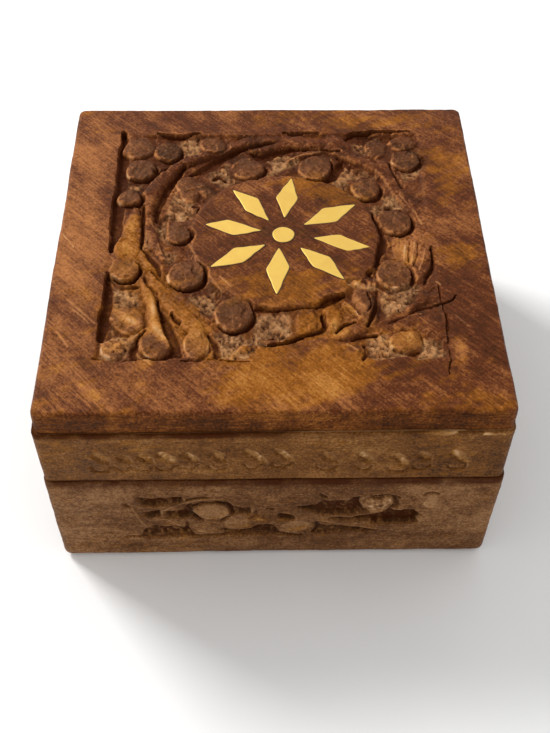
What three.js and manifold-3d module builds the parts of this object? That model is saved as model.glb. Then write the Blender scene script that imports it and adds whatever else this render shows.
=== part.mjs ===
// A square carved wooden trinket box with a hinged lid and a brass flower inlaid in its top.
// Millimetres, +Z up, +X right, front face towards -Y. The origin is on the underside, below
// the middle of the board that tops the lid. The lid is shut.

import * as THREE from "three";
import { mergeVertices } from "three/addons/utils/BufferGeometryUtils.js";
import Module from "manifold-3d";

const wasm = await Module();
wasm.setup();

// Overall sizes
const BOARD_WIDTH = 101.6;
const BOARD_DEPTH = 101.6;
const BASE_HEIGHT = 33.7;
const LID_GAP = 0.3; // between the two rims when the lid is shut
const RAIL_HEIGHT = 17.4; // the lid's frame, below its board
const BOARD_THICKNESS = 6.8;

// How far the lid's rails and the base stand out past the board
const RAIL_OUT_LEFT = 0.8;
const RAIL_OUT_RIGHT = 0.5;
const RAIL_OUT_ENDWISE = 0.5; // in front and behind
const BASE_OUT_SIDEWAYS = 1.1;
const BASE_OUT_ENDWISE = 0.6;

// Walls and the base's floor
const WALL = 8;
const LAP = 5; // how deep a side wall is let into the front and back walls
const FLOOR_THICKNESS = 5;
const FLOOR_REBATE = 4; // how far the floor reaches under each wall's inner face

// Rounded and eased outer edges
const CORNER_RADIUS = 1.8;
const BASE_FOOT_RADIUS = 2.4;
const BASE_RIM_RADIUS = 0.5;
const LID_RIM_RADIUS = 0.5;
const BOARD_TOP_RADIUS = 1.0;
const BOARD_LOWER_RADIUS = 0.6;
const CORNER_STEPS = 4;
const LEAST_CORNER = 0.2; // the radius that a corner keeps at least inside an eased edge

// The bevels along the back that meet when the lid is open, and so hold it there
const PIN_INSET = 2.0; // from the back face in to the hinge pin's axis
const BEVEL_ANGLE = 51; // degrees, of each bevel from the rim

// Hinges, their pins and screws
const HINGE_INSET = 22.8; // from the board's side to the hinge's middle
const HINGE_LENGTH = 19;
const LEAF_WIDTH = 4.8; // from the pin's axis to the leaf's edge
const LEAF_THICKNESS = 0.8;
const KNUCKLE_RADIUS = 1.5;
const KNUCKLE_GAP = 0.25; // between one knuckle and the next
const PIN_RADIUS = 0.7;
const PIN_CLEARANCE = 0.08;
const KNUCKLE_CLEARANCE = 0.3; // round the knuckle, to the wood and to the other leaf
const MORTISE_CLEARANCE = 0.2; // round the leaf's edges
const SCREW_SPACING = 11;
const SCREW_SETBACK = 2.9; // from the pin's axis to the screws
const SCREW_LENGTH = 7;
const SCREW_RADIUS = 0.6;
const SCREW_HEAD_RADIUS = 1.15;
const SCREW_HEAD_HEIGHT = 0.6;
const SCREW_POINT = 1.6;
const SCREW_SLOT = 0.3;
const SCREW_CLEARANCE = 0.08;
const ROUND_SIDES = 16;

// The brass flower, let into the raised medallion
const INLAY_THICKNESS = 1.2;
const INLAY_GLUE_LINE = 0.12;
const DISC_RADIUS = 2.6;
const PETAL_LENGTH = 14.2;
const PETAL_WIDTH = 5.1;
const PETAL_WIDEST = 0.5; // along its length

// Each petal as it was laid by hand: where its root lies round the disc and how far out, and
// the way it points, both angles from +X
const PETALS = [
  { rootAngle: 30, rootRadius: 6.0, heading: 29 },
  { rootAngle: 85, rootRadius: 5.8, heading: 82 },
  { rootAngle: 124, rootRadius: 5.9, heading: 129 },
  { rootAngle: 167, rootRadius: 5.3, heading: 170 },
  { rootAngle: 218, rootRadius: 5.6, heading: 210 },
  { rootAngle: 257, rootRadius: 5.1, heading: 267 },
  { rootAngle: 311, rootRadius: 6.4, heading: 313 },
  { rootAngle: 350, rootRadius: 7.4, heading: 346 },
];

// The carved panel in the board
const PANEL_SIZE = 76.4;
const PANEL_SHIFT_X = -0.2; // from the board's middle
const PANEL_SHIFT_Y = 1.8;
const PANEL_CORNER = 1.5;
const PANEL_CORNER_STEPS = 2;
const PANEL_DEPTH = 1.6;
const MEDALLION_RADIUS = 22.5;
const MEDALLION_SHIFT_X = 2.9; // from the panel's middle
const MEDALLION_SHIFT_Y = -0.4;
const MEDALLION_SIDES = 48;
const FLOWER_SHIFT = 0.8; // behind the medallion's middle
const LEAF_SINK = 0.15; // how far a leaf's crown lies below the surface
const STEM_RADIUS = 1.3;
const STEM_SIDES = 8;
const STEM_STEPS = 14;

// The panel's stems, as points in half panels from its middle
const PANEL_STEMS = [
  // Down the left side from the back corner, under the medallion's edge to the front
  [
    [-0.6, 0.76],
    [-0.73, 0.49],
    [-0.78, 0.18],
    [-0.75, -0.02],
    [-0.63, -0.32],
    [-0.46, -0.56],
    [-0.3, -0.76],
  ],
  // From the same corner along the back, over the medallion
  [
    [-0.6, 0.74],
    [-0.36, 0.84],
    [-0.1, 0.94],
    [0.1, 0.9],
    [0.34, 0.82],
    [0.55, 0.72],
    [0.68, 0.6],
  ],
  // Down the right side
  [
    [0.74, 0.76],
    [0.78, 0.57],
    [0.85, 0.41],
    [0.93, 0.2],
    [0.96, -0.06],
    [0.93, -0.3],
    [0.84, -0.46],
  ],
  // Three short stems spreading to the leaves in the left front corner
  [
    [-0.8, -0.34],
    [-0.9, -0.56],
    [-0.89, -0.82],
  ],
  [
    [-0.78, -0.34],
    [-0.73, -0.58],
    [-0.67, -0.8],
  ],
  [
    [-0.76, -0.34],
    [-0.6, -0.58],
    [-0.44, -0.8],
  ],
  // Along the front, under the medallion, to the right
  [
    [-0.16, -0.88],
    [0.08, -0.9],
    [0.3, -0.92],
    [0.5, -0.8],
    [0.62, -0.66],
  ],
];

// The panel's leaves, in half panels from its middle. across and along are half axes, and turn
// is the angle of along from +Y.
const PANEL_LEAVES = [
  { x: -0.88, y: 0.89, across: 0.095, along: 0.095, turn: 0 },
  { x: -0.68, y: 0.84, across: 0.085, along: 0.085, turn: 0 },
  { x: -0.85, y: 0.62, across: 0.095, along: 0.1, turn: -30 },
  { x: -0.89, y: 0.36, across: 0.08, along: 0.085, turn: 0 },
  { x: -0.88, y: -0.13, across: 0.09, along: 0.27, turn: 4 },
  { x: -0.13, y: 0.66, across: 0.11, along: 0.115, turn: 0 },
  { x: 0.32, y: 0.65, across: 0.105, along: 0.13, turn: -30 },
  { x: 0.63, y: 0.44, across: 0.105, along: 0.105, turn: 0 },
  { x: 0.77, y: 0.13, across: 0.11, along: 0.11, turn: 0 },
  { x: 0.74, y: -0.29, across: 0.11, along: 0.11, turn: 0 },
  { x: 0.57, y: -0.54, across: 0.08, along: 0.15, turn: 12 },
  { x: -0.52, y: -0.34, across: 0.11, along: 0.115, turn: 0 },
  { x: -0.22, y: -0.64, across: 0.12, along: 0.12, turn: 0 },
  { x: -0.6, y: 0.03, across: 0.09, along: 0.11, turn: 0 },
  { x: -0.5, y: 0.44, across: 0.1, along: 0.1, turn: 0 },
  { x: 0.7, y: 0.87, across: 0.085, along: 0.09, turn: 0 },
  { x: 0.9, y: 0.87, across: 0.085, along: 0.09, turn: 0 },
  { x: 0.9, y: 0.69, across: 0.085, along: 0.095, turn: 0 },
  { x: -0.83, y: -0.68, across: 0.1, along: 0.1, turn: 0 },
  { x: -0.89, y: -0.89, across: 0.085, along: 0.08, turn: 0 },
  { x: -0.66, y: -0.87, across: 0.1, along: 0.095, turn: 0 },
  { x: -0.41, y: -0.87, across: 0.08, along: 0.1, turn: 0 },
  { x: 0.77, y: -0.85, across: 0.1, along: 0.1, turn: 0 },
  { x: 0.81, y: -0.67, across: 0.075, along: 0.15, turn: 80 },
  { x: 0.38, y: -0.75, across: 0.07, along: 0.15, turn: -65 },
  { x: 0.21, y: -0.68, across: 0.1, along: 0.11, turn: 0 },
];
const LEAF_SIDES = 12;
const LEAF_RINGS = 6;

// The carved band on the base's front and sides
const BAND_LENGTH = 74;
const BAND_HEIGHT = 17.4;
const BAND_CORNER = 0.6; // its corner radius, as a share of half its height
const BAND_CORNER_STEPS = 3;
const BAND_MIDDLE = 18.6; // above the box's underside
const BAND_DEPTH = 1.2;
const BAND_STEM_RADIUS = 0.9;

// The band's stems, as points in half bands from its middle
const BAND_STEMS = [
  [
    [-1.02, -0.2],
    [-0.74, 0.3],
    [-0.58, 0.66],
    [-0.34, 0.6],
    [-0.16, 0.2],
    [0.06, 0.1],
    [0.3, 0.45],
    [0.55, 0.3],
    [0.78, 0.62],
    [1.02, 0.3],
  ],
  [
    [-0.62, -0.3],
    [-0.3, 0.0],
    [-0.06, -0.1],
    [0.2, -0.28],
    [0.46, -0.5],
    [0.7, -0.8],
  ],
];

// The band's leaves, in half bands from its middle, and the same way as the panel's
const BAND_LEAVES = [
  { x: -0.9, y: -0.62, across: 0.095, along: 0.3, turn: 0 },
  { x: -0.43, y: 0.26, across: 0.115, along: 0.42, turn: 0 },
  { x: -0.42, y: -0.55, across: 0.11, along: 0.28, turn: 0 },
  { x: -0.2, y: -0.36, across: 0.09, along: 0.3, turn: 0 },
  { x: 0.14, y: -0.58, across: 0.12, along: 0.32, turn: 0 },
  { x: 0.62, y: 0.48, across: 0.1, along: 0.32, turn: 0 },
  { x: 0.93, y: 0.72, across: 0.06, along: 0.3, turn: 0 },
];

// The row of slanted gouge cuts along the lid's front and sides
const CUT_PITCH = 7.1;
const CUT_COUNT = 12;
const CUT_SHIFT = 1.6; // towards the row's right-hand end
const CUT_LENGTH = 7;
const CUT_WIDTH = 2.2;
const CUT_DEPTH = 0.6;
const CUT_SLANT = 38; // degrees from upright
const CUT_MIDDLE = 9.1; // above the lid's rim

// How far a cutter reaches past the wood that it cuts, how far an eased block goes on past the
// edge that isn't eased, and how near two points are the same
const OVERCUT = 1;
const BEYOND = 20;
const SAME_POINT = 1e-4;

// Colours
const WALL_BROWN = 0x6f4c31;
const BOARD_BROWN = 0x8a5230;
const INSIDE_BROWN = 0x9a6b42;
const BRASS = 0xe8c25a;

// Levels and faces that the sizes give
const baseTop = BASE_HEIGHT;
const lidBottom = baseTop + LID_GAP;
const railTop = lidBottom + RAIL_HEIGHT;
const boardTop = railTop + BOARD_THICKNESS;
const pinLevel = baseTop + LID_GAP / 2;
const boardFaces = {
  left: -BOARD_WIDTH / 2,
  right: BOARD_WIDTH / 2,
  front: -BOARD_DEPTH / 2,
  back: BOARD_DEPTH / 2,
};
const railFaces = {
  left: boardFaces.left - RAIL_OUT_LEFT,
  right: boardFaces.right + RAIL_OUT_RIGHT,
  front: boardFaces.front - RAIL_OUT_ENDWISE,
  back: boardFaces.back + RAIL_OUT_ENDWISE,
};
const baseFaces = {
  left: boardFaces.left - BASE_OUT_SIDEWAYS,
  right: boardFaces.right + BASE_OUT_SIDEWAYS,
  front: boardFaces.front - BASE_OUT_ENDWISE,
  back: boardFaces.back + BASE_OUT_ENDWISE,
};
const pinLine = railFaces.back - PIN_INSET;
const hingeOffset = BOARD_WIDTH / 2 - HINGE_INSET;
const medallion = {
  x: PANEL_SHIFT_X + MEDALLION_SHIFT_X,
  y: PANEL_SHIFT_Y + MEDALLION_SHIFT_Y,
};
const flower = {
  x: medallion.x,
  y: medallion.y + FLOWER_SHIFT,
};

// Solids

// The closed solid that a geometry encloses.
function solid(geometry) {
  const bare = new THREE.BufferGeometry();
  bare.setAttribute("position", geometry.getAttribute("position"));
  if (geometry.index) bare.setIndex(geometry.index);
  const merged = mergeVertices(bare, SAME_POINT);
  return new wasm.Manifold(
    new wasm.Mesh({
      numProp: 3,
      vertProperties: merged.attributes.position.array,
      triVerts: new Uint32Array(merged.index.array),
    }),
  );
}

// The geometry of a solid, for its mesh.
function geometryOf(body) {
  const mesh = body.getMesh();
  const geometry = new THREE.BufferGeometry();
  geometry.setAttribute("position", new THREE.BufferAttribute(mesh.vertProperties, 3));
  geometry.setIndex(new THREE.BufferAttribute(mesh.triVerts, 1));
  geometry.computeVertexNormals();
  return geometry;
}

function block(x0, x1, y0, y1, z0, z1) {
  const box = new THREE.BoxGeometry(x1 - x0, y1 - y0, z1 - z0);
  return solid(box.translate((x0 + x1) / 2, (y0 + y1) / 2, (z0 + z1) / 2));
}

// A rod along X.
function rod(x0, x1, y, z, radius, sides = ROUND_SIDES) {
  const cylinder = new THREE.CylinderGeometry(radius, radius, x1 - x0, sides);
  return solid(cylinder.rotateZ(Math.PI / 2).translate((x0 + x1) / 2, y, z));
}

// A rod along Z.
function post(x, y, z0, z1, radius, sides = ROUND_SIDES) {
  const cylinder = new THREE.CylinderGeometry(radius, radius, z1 - z0, sides);
  return solid(cylinder.rotateX(Math.PI / 2).translate(x, y, (z0 + z1) / 2));
}

// An outline of points in XY, extruded from z0 to z1.
function prism(points, z0, z1) {
  const shape = new THREE.Shape(points.map(([x, y]) => new THREE.Vector2(x, y)));
  const geometry = new THREE.ExtrudeGeometry(shape, { depth: z1 - z0, bevelEnabled: false });
  return solid(geometry.translate(0, 0, z0));
}

// A rectangle with round corners, as points.
function roundRectangle(x0, x1, y0, y1, radius, steps = CORNER_STEPS) {
  const corners = [
    [x1 - radius, y1 - radius, 0],
    [x0 + radius, y1 - radius, 90],
    [x0 + radius, y0 + radius, 180],
    [x1 - radius, y0 + radius, 270],
  ];
  return corners.flatMap(([x, y, start]) =>
    Array.from({ length: steps + 1 }, (_, i) => {
      const angle = THREE.MathUtils.degToRad(start + (90 * i) / steps);
      return [x + radius * Math.cos(angle), y + radius * Math.sin(angle)];
    }),
  );
}

// A block with round upright corners, and with its edges at z0 and z1 rounded.
function easedBlock(faces, z0, z1, edge) {
  const { left, right, front, back } = faces;
  const radius = Math.max(CORNER_RADIUS - edge, LEAST_CORNER);
  const outline = roundRectangle(left + edge, right - edge, front + edge, back - edge, radius);
  const shape = new THREE.Shape(outline.map(([x, y]) => new THREE.Vector2(x, y)));
  const geometry = new THREE.ExtrudeGeometry(shape, {
    depth: z1 - z0 - 2 * edge,
    bevelThickness: edge,
    bevelSize: edge,
    bevelSegments: CORNER_STEPS,
  });
  return solid(geometry.translate(0, 0, z0 + edge));
}

// An ellipsoid with half axes a, b and c, its b axis turned from +Y about Z.
function ellipsoid(x, y, z, a, b, c, turn) {
  const ball = new THREE.SphereGeometry(1, LEAF_SIDES, LEAF_RINGS);
  ball.rotateX(Math.PI / 2).scale(a, b, c);
  ball.rotateZ(THREE.MathUtils.degToRad(turn));
  return solid(ball.translate(x, y, z));
}

// The same solid turned about Z, then moved.
function placed(body, degrees, x, y, z) {
  return body.rotate([0, 0, degrees]).translate([x, y, z]);
}

// Walls

// Four walls round a frame, lapped at the corners: the side walls' ends are let into the front
// and back walls.
function lappedWalls({ left, right, front, back }, z0, z1) {
  const shoulder = WALL - LAP;
  const low = z0 - OVERCUT;
  const high = z1 + OVERCUT;
  const endwise = (y0, y1, innerY0, innerY1) =>
    block(left, right, y0, y1, z0, z1)
      .subtract(block(left - OVERCUT, left + WALL, innerY0, innerY1, low, high))
      .subtract(block(right - WALL, right + OVERCUT, innerY0, innerY1, low, high));
  const sideways = (x0, x1) => block(x0, x1, front + shoulder, back - shoulder, z0, z1);
  return {
    front: endwise(front, front + WALL, front + shoulder, front + WALL + OVERCUT),
    back: endwise(back - WALL, back, back - WALL - OVERCUT, back - shoulder),
    left: sideways(left, left + WALL),
    right: sideways(right - WALL, right),
  };
}

// The wedge cut off along the back, from the pin's axis outwards. side is -1 below the gap, for
// the base, and 1 above it, for the lid.
function backBevel(side) {
  const reach = PIN_INSET + BASE_OUT_ENDWISE + OVERCUT;
  const drop = reach * Math.tan(THREE.MathUtils.degToRad(BEVEL_ANGLE));
  const rim = (side * LID_GAP) / 2;
  const outline = [
    [0, rim],
    [reach, rim + side * drop],
    [reach, -rim],
    [0, -rim],
  ];
  const ordered = side > 0 ? outline.reverse() : outline;
  // The outline lies in YZ: it is drawn in XY, then turned to run along X.
  const half = BOARD_WIDTH / 2 + BASE_OUT_SIDEWAYS + OVERCUT;
  const wedge = prism(ordered, -half, half);
  return wedge.rotate([90, 0, 90]).translate([0, pinLine, pinLevel]);
}

// What a hinge needs out of the back wall: a shallow mortise for the leaf, a round channel for
// the knuckles and two holes for the screws.
function hingeMortise(x, side) {
  const half = HINGE_LENGTH / 2 + MORTISE_CLEARANCE;
  const rim = pinLevel + (side * LID_GAP) / 2;
  const bed = rim + side * LEAF_THICKNESS;
  const inner = pinLine - LEAF_WIDTH - MORTISE_CLEARANCE;
  const [z0, z1] = side > 0 ? [rim - LID_GAP, bed] : [bed, rim + LID_GAP];
  let cut = block(x - half, x + half, inner, pinLine, z0, z1);
  const channel = KNUCKLE_RADIUS + KNUCKLE_CLEARANCE;
  cut = cut.add(rod(x - half, x + half, pinLine, pinLevel, channel));
  for (const screwX of screwPlaces(x)) {
    const end = rim + side * (SCREW_LENGTH + SCREW_CLEARANCE);
    const [low, high] = side > 0 ? [rim, end] : [end, rim];
    const hole = SCREW_RADIUS + SCREW_CLEARANCE;
    cut = cut.add(post(screwX, pinLine - SCREW_SETBACK, low, high, hole));
  }
  return cut;
}

function screwPlaces(x) {
  return [x - SCREW_SPACING / 2, x + SCREW_SPACING / 2];
}

// Carving

// The sunk ground of the board's panel, with what stands up in it left out.
function panelCutter() {
  const half = PANEL_SIZE / 2;
  const ground = boardTop - PANEL_DEPTH;
  const outline = roundRectangle(
    PANEL_SHIFT_X - half,
    PANEL_SHIFT_X + half,
    PANEL_SHIFT_Y - half,
    PANEL_SHIFT_Y + half,
    PANEL_CORNER,
    PANEL_CORNER_STEPS,
  );
  const above = boardTop + OVERCUT;
  let cutter = prism(outline, ground, above);
  const pad = post(
    medallion.x,
    medallion.y,
    ground - OVERCUT,
    above + OVERCUT,
    MEDALLION_RADIUS,
    MEDALLION_SIDES,
  );
  cutter = cutter.subtract(pad);
  for (const points of PANEL_STEMS) {
    const path = points.map(([x, y]) => [PANEL_SHIFT_X + x * half, PANEL_SHIFT_Y + y * half]);
    cutter = cutter.subtract(stem(path, ground, STEM_RADIUS));
  }
  for (const leaf of PANEL_LEAVES) {
    const height = PANEL_DEPTH - LEAF_SINK;
    const x = PANEL_SHIFT_X + leaf.x * half;
    const y = PANEL_SHIFT_Y + leaf.y * half;
    const body = ellipsoid(x, y, ground, leaf.across * half, leaf.along * half, height, leaf.turn);
    cutter = cutter.subtract(body);
  }
  return cutter;
}

// A round stem that lies half sunk in the level z, along a smooth curve through points in XY.
function stem(path, z, radius) {
  const points = path.map(([x, y]) => new THREE.Vector3(x, y, z));
  const section = new THREE.Shape().absarc(0, 0, radius, 0, 2 * Math.PI);
  const geometry = new THREE.ExtrudeGeometry(section, {
    steps: STEM_STEPS,
    curveSegments: STEM_SIDES,
    extrudePath: new THREE.CatmullRomCurve3(points),
  });
  return solid(geometry);
}

// The sunk band of a base wall, drawn lying down: X along the wall, Y up it, and the wall's face
// at z = 0 with the wood below.
function bandCutter() {
  const halfLength = BAND_LENGTH / 2;
  const halfHeight = BAND_HEIGHT / 2;
  const outline = roundRectangle(
    -halfLength,
    halfLength,
    -halfHeight,
    halfHeight,
    halfHeight * BAND_CORNER,
    BAND_CORNER_STEPS,
  );
  let cutter = prism(outline, -BAND_DEPTH, OVERCUT);
  for (const points of BAND_STEMS) {
    const path = points.map(([x, y]) => [x * halfLength, y * halfHeight]);
    cutter = cutter.subtract(stem(path, -BAND_DEPTH, BAND_STEM_RADIUS));
  }
  for (const leaf of BAND_LEAVES) {
    const body = ellipsoid(
      leaf.x * halfLength,
      leaf.y * halfHeight,
      -BAND_DEPTH,
      leaf.across * halfLength,
      leaf.along * halfHeight,
      BAND_DEPTH - LEAF_SINK,
      leaf.turn,
    );
    cutter = cutter.subtract(body);
  }
  return cutter;
}

// The row of slanted cuts on a lid rail, drawn lying down in the same way.
function cutRow() {
  const first = CUT_SHIFT - (CUT_PITCH * (CUT_COUNT - 1)) / 2;
  let row = null;
  for (let i = 0; i < CUT_COUNT; i++) {
    const x = first + i * CUT_PITCH;
    const cut = ellipsoid(x, 0, 0, CUT_WIDTH / 2, CUT_LENGTH / 2, CUT_DEPTH, CUT_SLANT);
    row = row ? row.add(cut) : cut;
  }
  return row;
}

// A lying-down cutter stood up against one of the box's faces, its middle at the given height.
function against(cutter, face, faces, height) {
  const upright = cutter.rotate([90, 0, 0]);
  const middleX = (faces.left + faces.right) / 2;
  const middleY = (faces.front + faces.back) / 2;
  if (face === "front") return placed(upright, 0, middleX, faces.front, height);
  if (face === "left") return placed(upright, -90, faces.left, middleY, height);
  return placed(upright, 90, faces.right, middleY, height);
}

// Sub-parts

const woodRoughness = 0.55;
const brassRoughness = 0.38;
const group = new THREE.Group();

function addPiece(name, body, color, metal = false) {
  const material = new THREE.MeshStandardMaterial({
    color,
    roughness: metal ? brassRoughness : woodRoughness,
    metalness: metal ? 1 : 0,
  });
  const mesh = new THREE.Mesh(geometryOf(body), material);
  mesh.name = name;
  group.add(mesh);
}

function addBase() {
  const footed = easedBlock(baseFaces, 0, baseTop + BEYOND, BASE_FOOT_RADIUS);
  const rimmed = easedBlock(baseFaces, -BEYOND, baseTop, BASE_RIM_RADIUS);
  const envelope = footed.intersect(rimmed);
  const inner = {
    left: baseFaces.left + WALL - FLOOR_REBATE,
    right: baseFaces.right - WALL + FLOOR_REBATE,
    front: baseFaces.front + WALL - FLOOR_REBATE,
    back: baseFaces.back - WALL + FLOOR_REBATE,
  };
  const floorSpace = block(
    inner.left,
    inner.right,
    inner.front,
    inner.back,
    -OVERCUT,
    FLOOR_THICKNESS,
  );
  const walls = lappedWalls(baseFaces, 0, baseTop);
  for (const face of ["front", "left", "right"])
    walls[face] = walls[face].subtract(against(bandCutter(), face, baseFaces, BAND_MIDDLE));
  walls.back = walls.back.subtract(backBevel(-1));
  for (const x of [-hingeOffset, hingeOffset])
    walls.back = walls.back.subtract(hingeMortise(x, -1));
  for (const side of ["left", "right"]) walls[side] = walls[side].subtract(backBevel(-1));
  for (const [face, wall] of Object.entries(walls))
    addPiece(`base_${face}_wall`, wall.intersect(envelope).subtract(floorSpace), WALL_BROWN);
  const floor = block(
    inner.left,
    inner.right,
    inner.front,
    inner.back,
    0,
    FLOOR_THICKNESS,
  );
  addPiece("base_floor", floor, INSIDE_BROWN);
}

function addLid() {
  const railEnvelope = easedBlock(railFaces, lidBottom, railTop, LID_RIM_RADIUS);
  const rails = lappedWalls(railFaces, lidBottom, railTop);
  for (const face of ["front", "left", "right"])
    rails[face] = rails[face].subtract(
      against(cutRow(), face, railFaces, lidBottom + CUT_MIDDLE),
    );
  rails.back = rails.back.subtract(backBevel(1));
  for (const x of [-hingeOffset, hingeOffset])
    rails.back = rails.back.subtract(hingeMortise(x, 1));
  for (const side of ["left", "right"]) rails[side] = rails[side].subtract(backBevel(1));
  for (const [face, rail] of Object.entries(rails))
    addPiece(`lid_${face}_rail`, rail.intersect(railEnvelope), WALL_BROWN);

  const board = easedBlock(boardFaces, railTop - BEYOND, boardTop, BOARD_TOP_RADIUS)
    .intersect(easedBlock(boardFaces, railTop, boardTop + BEYOND, BOARD_LOWER_RADIUS))
    .subtract(panelCutter())
    .subtract(inlayPockets());
  addPiece("lid_board", board, BOARD_BROWN);
}

// A petal's outline, made larger all round by the glue line where it is a pocket. It lies with
// its root at the origin and points along +X.
function petalOutline(grow) {
  const widest = PETAL_LENGTH * PETAL_WIDEST;
  const half = PETAL_WIDTH / 2;
  const slope = Math.hypot(widest, half);
  const endGrow = (grow * slope) / half;
  const sideGrow = (grow * slope) / widest;
  return [
    [-endGrow, 0],
    [widest, -half - sideGrow],
    [PETAL_LENGTH + endGrow, 0],
    [widest, half + sideGrow],
  ];
}

function petalAt({ rootAngle, rootRadius, heading }, grow, z0, z1) {
  const angle = THREE.MathUtils.degToRad(rootAngle);
  const x = flower.x + rootRadius * Math.cos(angle);
  const y = flower.y + rootRadius * Math.sin(angle);
  return placed(prism(petalOutline(grow), z0, z1), heading, x, y, 0);
}

function inlayPockets() {
  const bed = boardTop - INLAY_THICKNESS;
  const above = boardTop + OVERCUT;
  const hole = DISC_RADIUS + INLAY_GLUE_LINE;
  let pockets = post(flower.x, flower.y, bed, above, hole, 2 * ROUND_SIDES);
  for (const petal of PETALS)
    pockets = pockets.add(petalAt(petal, INLAY_GLUE_LINE, bed, above));
  return pockets;
}

function addInlay() {
  const bed = boardTop - INLAY_THICKNESS;
  const disc = post(flower.x, flower.y, bed, boardTop, DISC_RADIUS, 2 * ROUND_SIDES);
  addPiece("inlay_disc", disc, BRASS, true);
  PETALS.forEach((petal, i) =>
    addPiece(`inlay_petal_${i + 1}`, petalAt(petal, 0, bed, boardTop), BRASS, true),
  );
}

// One leaf of a hinge with its knuckles. The base's leaf has the two outer knuckles and the
// lid's has the middle one.
function hingeLeaf(x, side) {
  const half = HINGE_LENGTH / 2;
  const third = HINGE_LENGTH / 3;
  const outer = [
    [x - half, x - third / 2 - KNUCKLE_GAP],
    [x + third / 2 + KNUCKLE_GAP, x + half],
  ];
  const middle = [[x - third / 2, x + third / 2]];
  const [own, other] = side > 0 ? [middle, outer] : [outer, middle];
  const rim = pinLevel + (side * LID_GAP) / 2;
  const bed = rim + side * LEAF_THICKNESS;
  const [z0, z1] = side > 0 ? [rim, bed] : [bed, rim];
  let leaf = block(x - half, x + half, pinLine - LEAF_WIDTH, pinLine, z0, z1);
  const room = KNUCKLE_RADIUS + KNUCKLE_CLEARANCE;
  for (const [x0, x1] of other)
    leaf = leaf.subtract(rod(x0 - KNUCKLE_GAP, x1 + KNUCKLE_GAP, pinLine, pinLevel, room));
  for (const [x0, x1] of own) leaf = leaf.add(rod(x0, x1, pinLine, pinLevel, KNUCKLE_RADIUS));
  const bore = PIN_RADIUS + PIN_CLEARANCE;
  leaf = leaf.subtract(rod(x - half - OVERCUT, x + half + OVERCUT, pinLine, pinLevel, bore));
  for (const screwX of screwPlaces(x))
    leaf = leaf.subtract(screwBody(screwX, side, SCREW_CLEARANCE));
  return leaf;
}

// A countersunk screw standing in its leaf, its head flush with the leaf's face, or the hole
// that it needs, larger all round by grow.
function screwBody(x, side, grow) {
  const head = SCREW_HEAD_RADIUS + grow;
  const shank = SCREW_RADIUS + grow;
  const profile = [
    [0, -SCREW_LENGTH],
    [shank, -SCREW_LENGTH + SCREW_POINT],
    [shank, -SCREW_HEAD_HEIGHT],
    [head, 0],
  ];
  if (grow > 0) profile.push([head, OVERCUT], [0, OVERCUT]);
  else profile.push([0, 0]);
  const points = profile.map(([radius, z]) => new THREE.Vector2(radius, z));
  const turned = new THREE.LatheGeometry(points, ROUND_SIDES).rotateX(Math.PI / 2);
  const y = pinLine - SCREW_SETBACK;
  const face = pinLevel + (side * LID_GAP) / 2;
  const body = solid(turned);
  return side > 0
    ? body.rotate([180, 0, 0]).translate([x, y, face])
    : body.translate([x, y, face]);
}

function slottedScrew(x, side) {
  const face = pinLevel + (side * LID_GAP) / 2;
  const y = pinLine - SCREW_SETBACK;
  const deep = SCREW_HEAD_HEIGHT / 2;
  const half = SCREW_HEAD_RADIUS + OVERCUT;
  const [z0, z1] = side > 0 ? [face - OVERCUT, face + deep] : [face - deep, face + OVERCUT];
  const slot = block(x - half, x + half, y - SCREW_SLOT / 2, y + SCREW_SLOT / 2, z0, z1);
  return screwBody(x, side, 0).subtract(slot);
}

function addHinge(label, x) {
  addPiece(`${label}_hinge_base_leaf`, hingeLeaf(x, -1), BRASS, true);
  addPiece(`${label}_hinge_lid_leaf`, hingeLeaf(x, 1), BRASS, true);
  const half = HINGE_LENGTH / 2;
  const pin = rod(x - half, x + half, pinLine, pinLevel, PIN_RADIUS);
  addPiece(`${label}_hinge_pin`, pin, BRASS, true);
  screwPlaces(x).forEach((screwX, i) => {
    addPiece(`${label}_hinge_base_screw_${i + 1}`, slottedScrew(screwX, -1), BRASS, true);
    addPiece(`${label}_hinge_lid_screw_${i + 1}`, slottedScrew(screwX, 1), BRASS, true);
  });
}

addBase();
addLid();
addInlay();
addHinge("left", -hingeOffset);
addHinge("right", hingeOffset);

export default group;
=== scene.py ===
"""A carved wooden trinket box with an inlaid brass flower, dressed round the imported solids.

Lengths are in millimetres until a mesh is made, in the solids' own frame: +X right, the front
face towards -Y, +Z up, with the origin on the floor below the middle of the lid.
"""

import math

import bpy
import numpy as np
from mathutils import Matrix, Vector


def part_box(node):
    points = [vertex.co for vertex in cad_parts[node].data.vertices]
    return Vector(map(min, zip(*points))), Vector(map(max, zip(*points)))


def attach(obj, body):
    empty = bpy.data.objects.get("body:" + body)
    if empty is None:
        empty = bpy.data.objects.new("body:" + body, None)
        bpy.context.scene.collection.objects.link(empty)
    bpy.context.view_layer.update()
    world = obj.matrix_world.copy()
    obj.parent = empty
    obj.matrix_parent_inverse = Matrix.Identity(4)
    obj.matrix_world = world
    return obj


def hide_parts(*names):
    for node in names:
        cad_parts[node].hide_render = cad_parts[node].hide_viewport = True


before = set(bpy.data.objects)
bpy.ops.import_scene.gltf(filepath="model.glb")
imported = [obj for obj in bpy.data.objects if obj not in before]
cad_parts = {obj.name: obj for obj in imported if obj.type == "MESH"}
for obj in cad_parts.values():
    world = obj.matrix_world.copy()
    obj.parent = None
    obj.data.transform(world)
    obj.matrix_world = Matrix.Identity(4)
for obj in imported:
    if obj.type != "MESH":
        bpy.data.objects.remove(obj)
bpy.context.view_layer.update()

MM = 0.001

# The camera, solved from the box's corners
PHOTO_HEIGHT = 733
CAMERA_FOCUS = 1040.05  # in pixels of the photo
CAMERA_AT = (-2.57, -178.66, 230.29)
CAMERA_TURN = (39.17, -0.23, -0.83)
SENSOR = 36.0

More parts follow.
